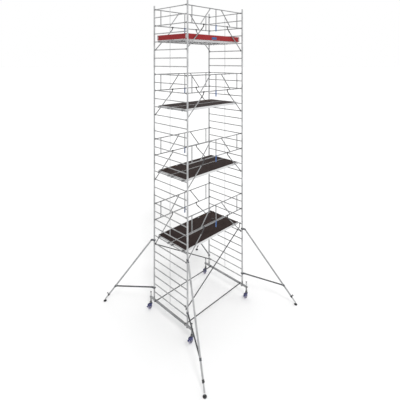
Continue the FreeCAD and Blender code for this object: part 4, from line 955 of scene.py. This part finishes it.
toe_low, toe_high = box_of("toe_boards")
red_paint = painted_ply("red paint", (0.22, 0.012, 0.016), (0.32, 0.026, 0.028))
dress("toe_boards", red_paint)
clip_plate = carried(oblong(-0.022, -0.052, 0.022, 0.052, 0.006), 0, 0.0018, 0.0007)
toe_middle = (toe_low[2] + toe_high[2]) / 2
clip_places, clip_turns = [], []
for x_sign, y_sign in corner_signs.values():
    clip_places += [(x_sign * (toe_high[0] - 0.040), y_sign * toe_high[1], toe_middle),
                    (x_sign * toe_high[0], y_sign * (toe_high[1] - 0.026), toe_middle)]
    clip_turns += [turn((y_sign, 0, 0), (0, y_sign, 0)), turn((0, x_sign, 0), (x_sign, 0, 0))]
clip_screws = [np.array(place) + turned_to @ (0, height, 0.0018) for place, turned_to in zip(clip_places,
    clip_turns) for height in (-0.036, 0.036)]
screw_turns = np.stack([turned_to for turned_to in clip_turns for height in (-0.036, 0.036)])
make_piece("toe_board_clips", "tower", [placed(clip_plate, clip_places, np.stack(clip_turns)),
                                        placed(rivet_head, clip_screws, screw_turns)], spindle_zinc)
blue_mark = carried(oblong(-0.11, -0.037, 0.11, 0.037, 0.004), 0, 0.0015, 0.0006)
mark_place = (-0.04, toe_low[1], toe_low[2] + 0.053)
make_piece("toe_board_plate", "tower", [placed(blue_mark, mark_place, upright)], blue_lacquer)


# Outriggers: an aluminium tube and an arm, held on the stile by two cast clamps that swing round it. A
# thinner leg slides in the tube and is gripped by a collar with a lobed knob, and its rubber-soled foot
# tilts on a pin.


def star(radius, lobe, count, points=60):
    """Outline of a knob: at angle a the radius is radius + lobe x cos(count a)."""
    a = np.linspace(0, 2 * np.pi, points, endpoint=False)
    return np.stack([np.cos(a), np.sin(a)], -1) * (radius + lobe * np.cos(count * a))[:, None]


def moulded_rubber(name):
    """Black rubber: a matt pored skin, dust in patches and grey scuffs where it meets the floor."""
    finish = Finish(name)
    pores = finish.cloud(500, 4)
    dust = finish.cloud(40, 5).above(0.45, 0.75)
    low = 1 - finish.axes(finish.where())[2].above(0.002, 0.016)
    colour = finish.mix(dust * 0.4 + low * 0.35, (0.008, 0.008, 0.009), (0.10, 0.098, 0.094))
    return finish.paint(colour, 0.62 + pores * 0.2, pores, 0.0004)


outer_metal = drawn_aluminium("outrigger aluminium", (0.24, 0.245, 0.25), (0.44, 0.445, 0.45))
leg_metal = drawn_aluminium("leg aluminium", (0.32, 0.324, 0.33), (0.52, 0.525, 0.53))
foot_rubber = moulded_rubber("foot rubber")
foot_low, foot_high = box_of("outrigger_foot_right_rear")
TUBE_R = 0.024
ARM_R = 0.020
LEG_R = 0.0206
COLLAR_R = 0.031
HEAD_OUT = 0.088
PIVOT_HEIGHT = 0.055
COLLAR_UP = 0.620
TUBE_FOOT_UP = 0.200
reach = math.hypot((foot_low[0] + foot_high[0]) / 2 - end_x, (foot_low[1] + foot_high[1]) / 2 - stile_y)
upper_z = lowest_rung + 6 * RUNG_PITCH + 0.095
lower_z = lowest_rung + 0.120
pivot = np.array([reach, 0, PIVOT_HEIGHT])
tube_head = np.array([HEAD_OUT, 0, upper_z])
down = (pivot - tube_head) / np.linalg.norm(pivot - tube_head)
arm_joint = pivot - down * COLLAR_UP
arm_head = np.array([HEAD_OUT, 0, lower_z])
out = (arm_joint - arm_head) / np.linalg.norm(arm_joint - arm_head)
tube_foot = pivot - down * TUBE_FOOT_UP
square_to = np.array([-down[2], 0, down[0]])
down_turn = turn((0, 1, 0), down)
knob_turn = turn((0, 1, 0), square_to)

coupler_ring = turned(mirrored([(0.0254, -0.025), (0.0320, -0.025), (0.0334, -0.0235), (0.0334, -0.0100),
                                (0.0325, -0.0085)]), 40, True)
lug_side = rounded([(0.029, -0.024), (0.060, -0.024), (0.092, -0.018), (0.092, 0.018), (0.060, 0.024),
                    (0.029, 0.024)], 0.008)
coupler_lug = carried(lug_side, -0.0155, 0.0155, 0.002)
back_ears = carried(rounded([(-0.030, -0.018), (-0.048, -0.014), (-0.048, 0.014), (-0.030, 0.018)], 0.006),
                    -0.0130, 0.0130, 0.002)
swing_bolt = turned(mirrored([(0.0030, -0.028), (0.0040, -0.0272)]), 14)
bolt_nut = carried(hexagon * 0.0085, 0.0135, 0.0210, 0.0012)
bolt_head = carried(hexagon * 0.0085, -0.0200, -0.0135, 0.0012)
socket_profile = [(0.0250, -0.006), (0.0268, -0.004), (0.0272, 0.018), (0.0262, 0.030), (0.0243, 0.031),
                  (0.0243, 0.004)]
arm_socket_profile = [(r - 0.004, z) for r, z in socket_profile]
collar = turned(mirrored([(TUBE_R + 0.0002, -0.030), (0.0295, -0.030), (COLLAR_R, -0.028),
                          (COLLAR_R, -0.012), (0.0290, -0.009)]), 36, True)
clamp_throat = turned([(LEG_R + 0.0003, 0.0285), (0.0240, 0.0285), (0.0262, 0.0305), (0.0250, 0.0350),
                       (0.0225, 0.0365), (LEG_R + 0.0003, 0.0365)], 36, True)
knob_stem = turned([(0.0075, 0), (0.0062, 0.004), (0.0060, 0.0245), (0.0060, 0.029)], 18)
knob = carried(star(0.0245, 0.0033, 5), 0.0260, 0.0440, 0.0045)
knob_cap = turned([(0.0120, 0.0430), (0.0110, 0.0455), (0.0070, 0.0470), (0.0020, 0.0474)], 24)

frame_tubes = [tubes(tube_head, tube_foot, TUBE_R, 0.003, 28)]
arm_tube = [tubes(arm_head, arm_joint - out * 0.020, ARM_R, 0.0025, 28)]
frame_castings = []
for height in (upper_z, lower_z):
    frame_castings += [placed(coupler_ring, (0, 0, height)), placed(coupler_lug, (0, 0, height), upright),
                       placed(back_ears, (0, 0, height), upright)]
frame_castings += [placed(turned(socket_profile, 32, True), tube_head, down_turn),
                   placed(turned(arm_socket_profile, 32, True), arm_head, turn((0, 1, 0), out)),
                   placed(turned([(r - 0.0035, z) for r, z in socket_profile], 32, True),
                          arm_joint - out * 0.030, turn((0, 1, 0), -out)),
                   placed(collar, arm_joint, down_turn)]
clamp_middle = tube_foot - down * 0.030
clamp_parts = [placed(collar, clamp_middle, down_turn), placed(clamp_throat, clamp_middle, down_turn)]
knob_root = clamp_middle + square_to * 0.0285
knob_parts = [placed(part, knob_root, knob_turn) for part in (knob_stem, knob, knob_cap)]
bolt_parts = [placed(part, (-0.040, 0, height), along_y) for height in (upper_z, lower_z)
              for part in (swing_bolt, bolt_nut, bolt_head)]
bolt_parts += [placed(turned(mirrored([(0.0030, -0.0335), (0.0042, -0.0325)]), 14), arm_joint, along_y)]

leg_foot = pivot - down * 0.034
leg_tubes = [tubes(pivot - down * 0.945, leg_foot, LEG_R, 0.0025, 28)]
tongue_ear = carried(rounded([(-0.034, -0.0120), (-0.004, -0.0120), (0.0085, -0.0095), (0.0120, -0.0040),
                              (0.0120, 0.0040), (0.0085, 0.0095), (-0.004, 0.0120), (-0.034, 0.0120)],
                             0.003), 0.0084, 0.0134, 0.0010)
ear_turn = turn(down, (0, 1, 0))
near_ear = placed(tongue_ear, pivot, ear_turn)
leg_fittings = [near_ear, other_side(near_ear),
                placed(turned([(0.0190, -0.006), (0.0206, -0.004), (0.0206, 0.006), (0.0190, 0.0075)], 28),
                       leg_foot, down_turn), placed(turned(mirrored([(0.0030, -0.0163), (0.0050, -0.0158)]),
                                                           16), pivot, along_y)]
sole = turned([(0.0440, 0), (0.0470, 0.0015), (0.0480, 0.0045), (0.0480, 0.0150), (0.0470, 0.0180),
               (0.0455, 0.0190), (0.0450, 0.0186), (0.0430, 0.0200), (0.0380, 0.0255), (0.0320, 0.0305),
               (0.0270, 0.0340), (0.0250, 0.0345), (0.0245, 0.0365), (0.0225, 0.0378)], 48)
tongue_outline = rounded([(-0.012, 0.034), (0.012, 0.034), (0.0125, 0.052), (0.0095, 0.0635), (0, 0.0672),
                          (-0.0095, 0.0635), (-0.0125, 0.052)], 0.006)
tongue = placed(carried(tongue_outline, -0.0078, 0.0078, 0.0015), (0, 0, 0), upright)
foot_parts = [placed(part, (reach, 0, 0)) for part in (sole, tongue)]

outrigger_pieces = {
    "outrigger_tube_": ("outrigger_frame_", frame_tubes, outer_metal, "outrigger_tube", True),
    "outrigger_arm_": ("outrigger_frame_", arm_tube, brace_metal, "outrigger_tube", False),
    "outrigger_clamps_": ("outrigger_frame_", frame_castings, housing_coat, "castor_nut_iron", False),
    "leg_collar_": ("outrigger_frame_", clamp_parts, claw_casting, "castor_nut_iron", False),
    "leg_knob_": ("outrigger_frame_", knob_parts, black_plastic, "castor_nut_iron", False),
    "outrigger_bolts_": ("outrigger_frame_", bolt_parts, spindle_zinc, "zinc_steel", False),
    "outrigger_inner_tube_": ("outrigger_leg_", leg_tubes, leg_metal, "outrigger_inner", True),
    "outrigger_leg_fittings_": ("outrigger_leg_", leg_fittings, spindle_zinc, "zinc_steel", False),
    "outrigger_sole_": ("outrigger_foot_", foot_parts, foot_rubber, "rubber_foot", True),
}
for corner, (x_sign, y_sign) in corner_signs.items():
    low, high = box_of("outrigger_foot_" + corner)
    hinge = np.array([x_sign * end_x, y_sign * stile_y, 0])
    heading = (low + high) / 2 - hinge
    swung = turn((heading[0], heading[1], 0), (0, 0, 1))
    make_corner(outrigger_pieces, corner, hinge, swung)


# Studio: a wide plain pale floor under an even white sky, with one broad soft key light from the front left
# and a weaker one from the right.


def pale_floor(name):
    """Matt painted floor: very faint clouding."""
    finish = Finish(name)
    cloud = finish.cloud(0.3, 4)
    colour = finish.mix(cloud, (0.84, 0.84, 0.84), (0.86, 0.86, 0.86))
    return finish.paint(colour, 0.75 + cloud * 0.1, cloud, 0.0005)


def disc(radius, rings, around):
    """Flat disc of rings growing outward: points (r cos a, r sin a, 0) with r = radius * (i / rings) **
    2."""
    out = radius * (np.arange(1, rings + 1) / rings) ** 2
    angle = np.arange(around) * 2 * np.pi / around
    places = np.stack([out[:, None] * np.cos(angle), out[:, None] * np.sin(angle),
                       np.full((rings, around), -0.0005)], -1)
    index = np.arange(rings * around).reshape(rings, around)
    after = np.roll(index, -1, 1)
    quads = np.stack([index[:-1], index[1:], after[1:], after[:-1]], -1).reshape(-1, 4)
    return places.reshape(-1, 3), [index[0].tolist(), *quads.tolist()]


floor_places, floor_faces = disc(400, 12, 96)
floor_mesh = bpy.data.meshes.new("floor")
floor_mesh.from_pydata(floor_places.tolist(), [], floor_faces)
floor_mesh.materials.append(pale_floor("pale floor").material)
floor = bpy.data.objects.new("floor", floor_mesh)
bpy.context.collection.objects.link(floor)

sky = bpy.data.worlds.new("studio")
sky.use_nodes = True
sky.node_tree.nodes["Background"].inputs["Color"].default_value = (1.0, 1.0, 1.0, 1)
sky.node_tree.nodes["Background"].inputs["Strength"].default_value = 1.0
bpy.context.scene.world = sky
for name, heading, height, spread, power in (("key", -118, 48, 12, 0.9), ("fill", -10, 50, 60, 0.4)):
    panel = bpy.data.lights.new(name, "SUN")
    panel.angle = math.radians(spread)
    panel.energy = power
    lamp = bpy.data.objects.new(name, panel)
    lamp.rotation_euler = (math.radians(90 - height), 0, math.radians(heading + 90))
    lamp.location = (0, 0, 12)
    bpy.context.collection.objects.link(lamp)

HEADING = 0.784
lens = bpy.data.cameras.new("camera")
lens.sensor_width = 36
lens.lens = 30.51081
lens.shift_x = 0.00769
lens.shift_y = -0.34695
lens.clip_end = 500
camera = bpy.data.objects.new("camera", lens)
camera.location = (-7.78, -7.632, 7.406 + beam_axis)
camera.rotation_euler = (math.pi / 2, 0, HEADING - math.pi / 2)
bpy.context.collection.objects.link(camera)
bpy.context.scene.camera = camera
bpy.context.scene.view_settings.view_transform = "Standard"
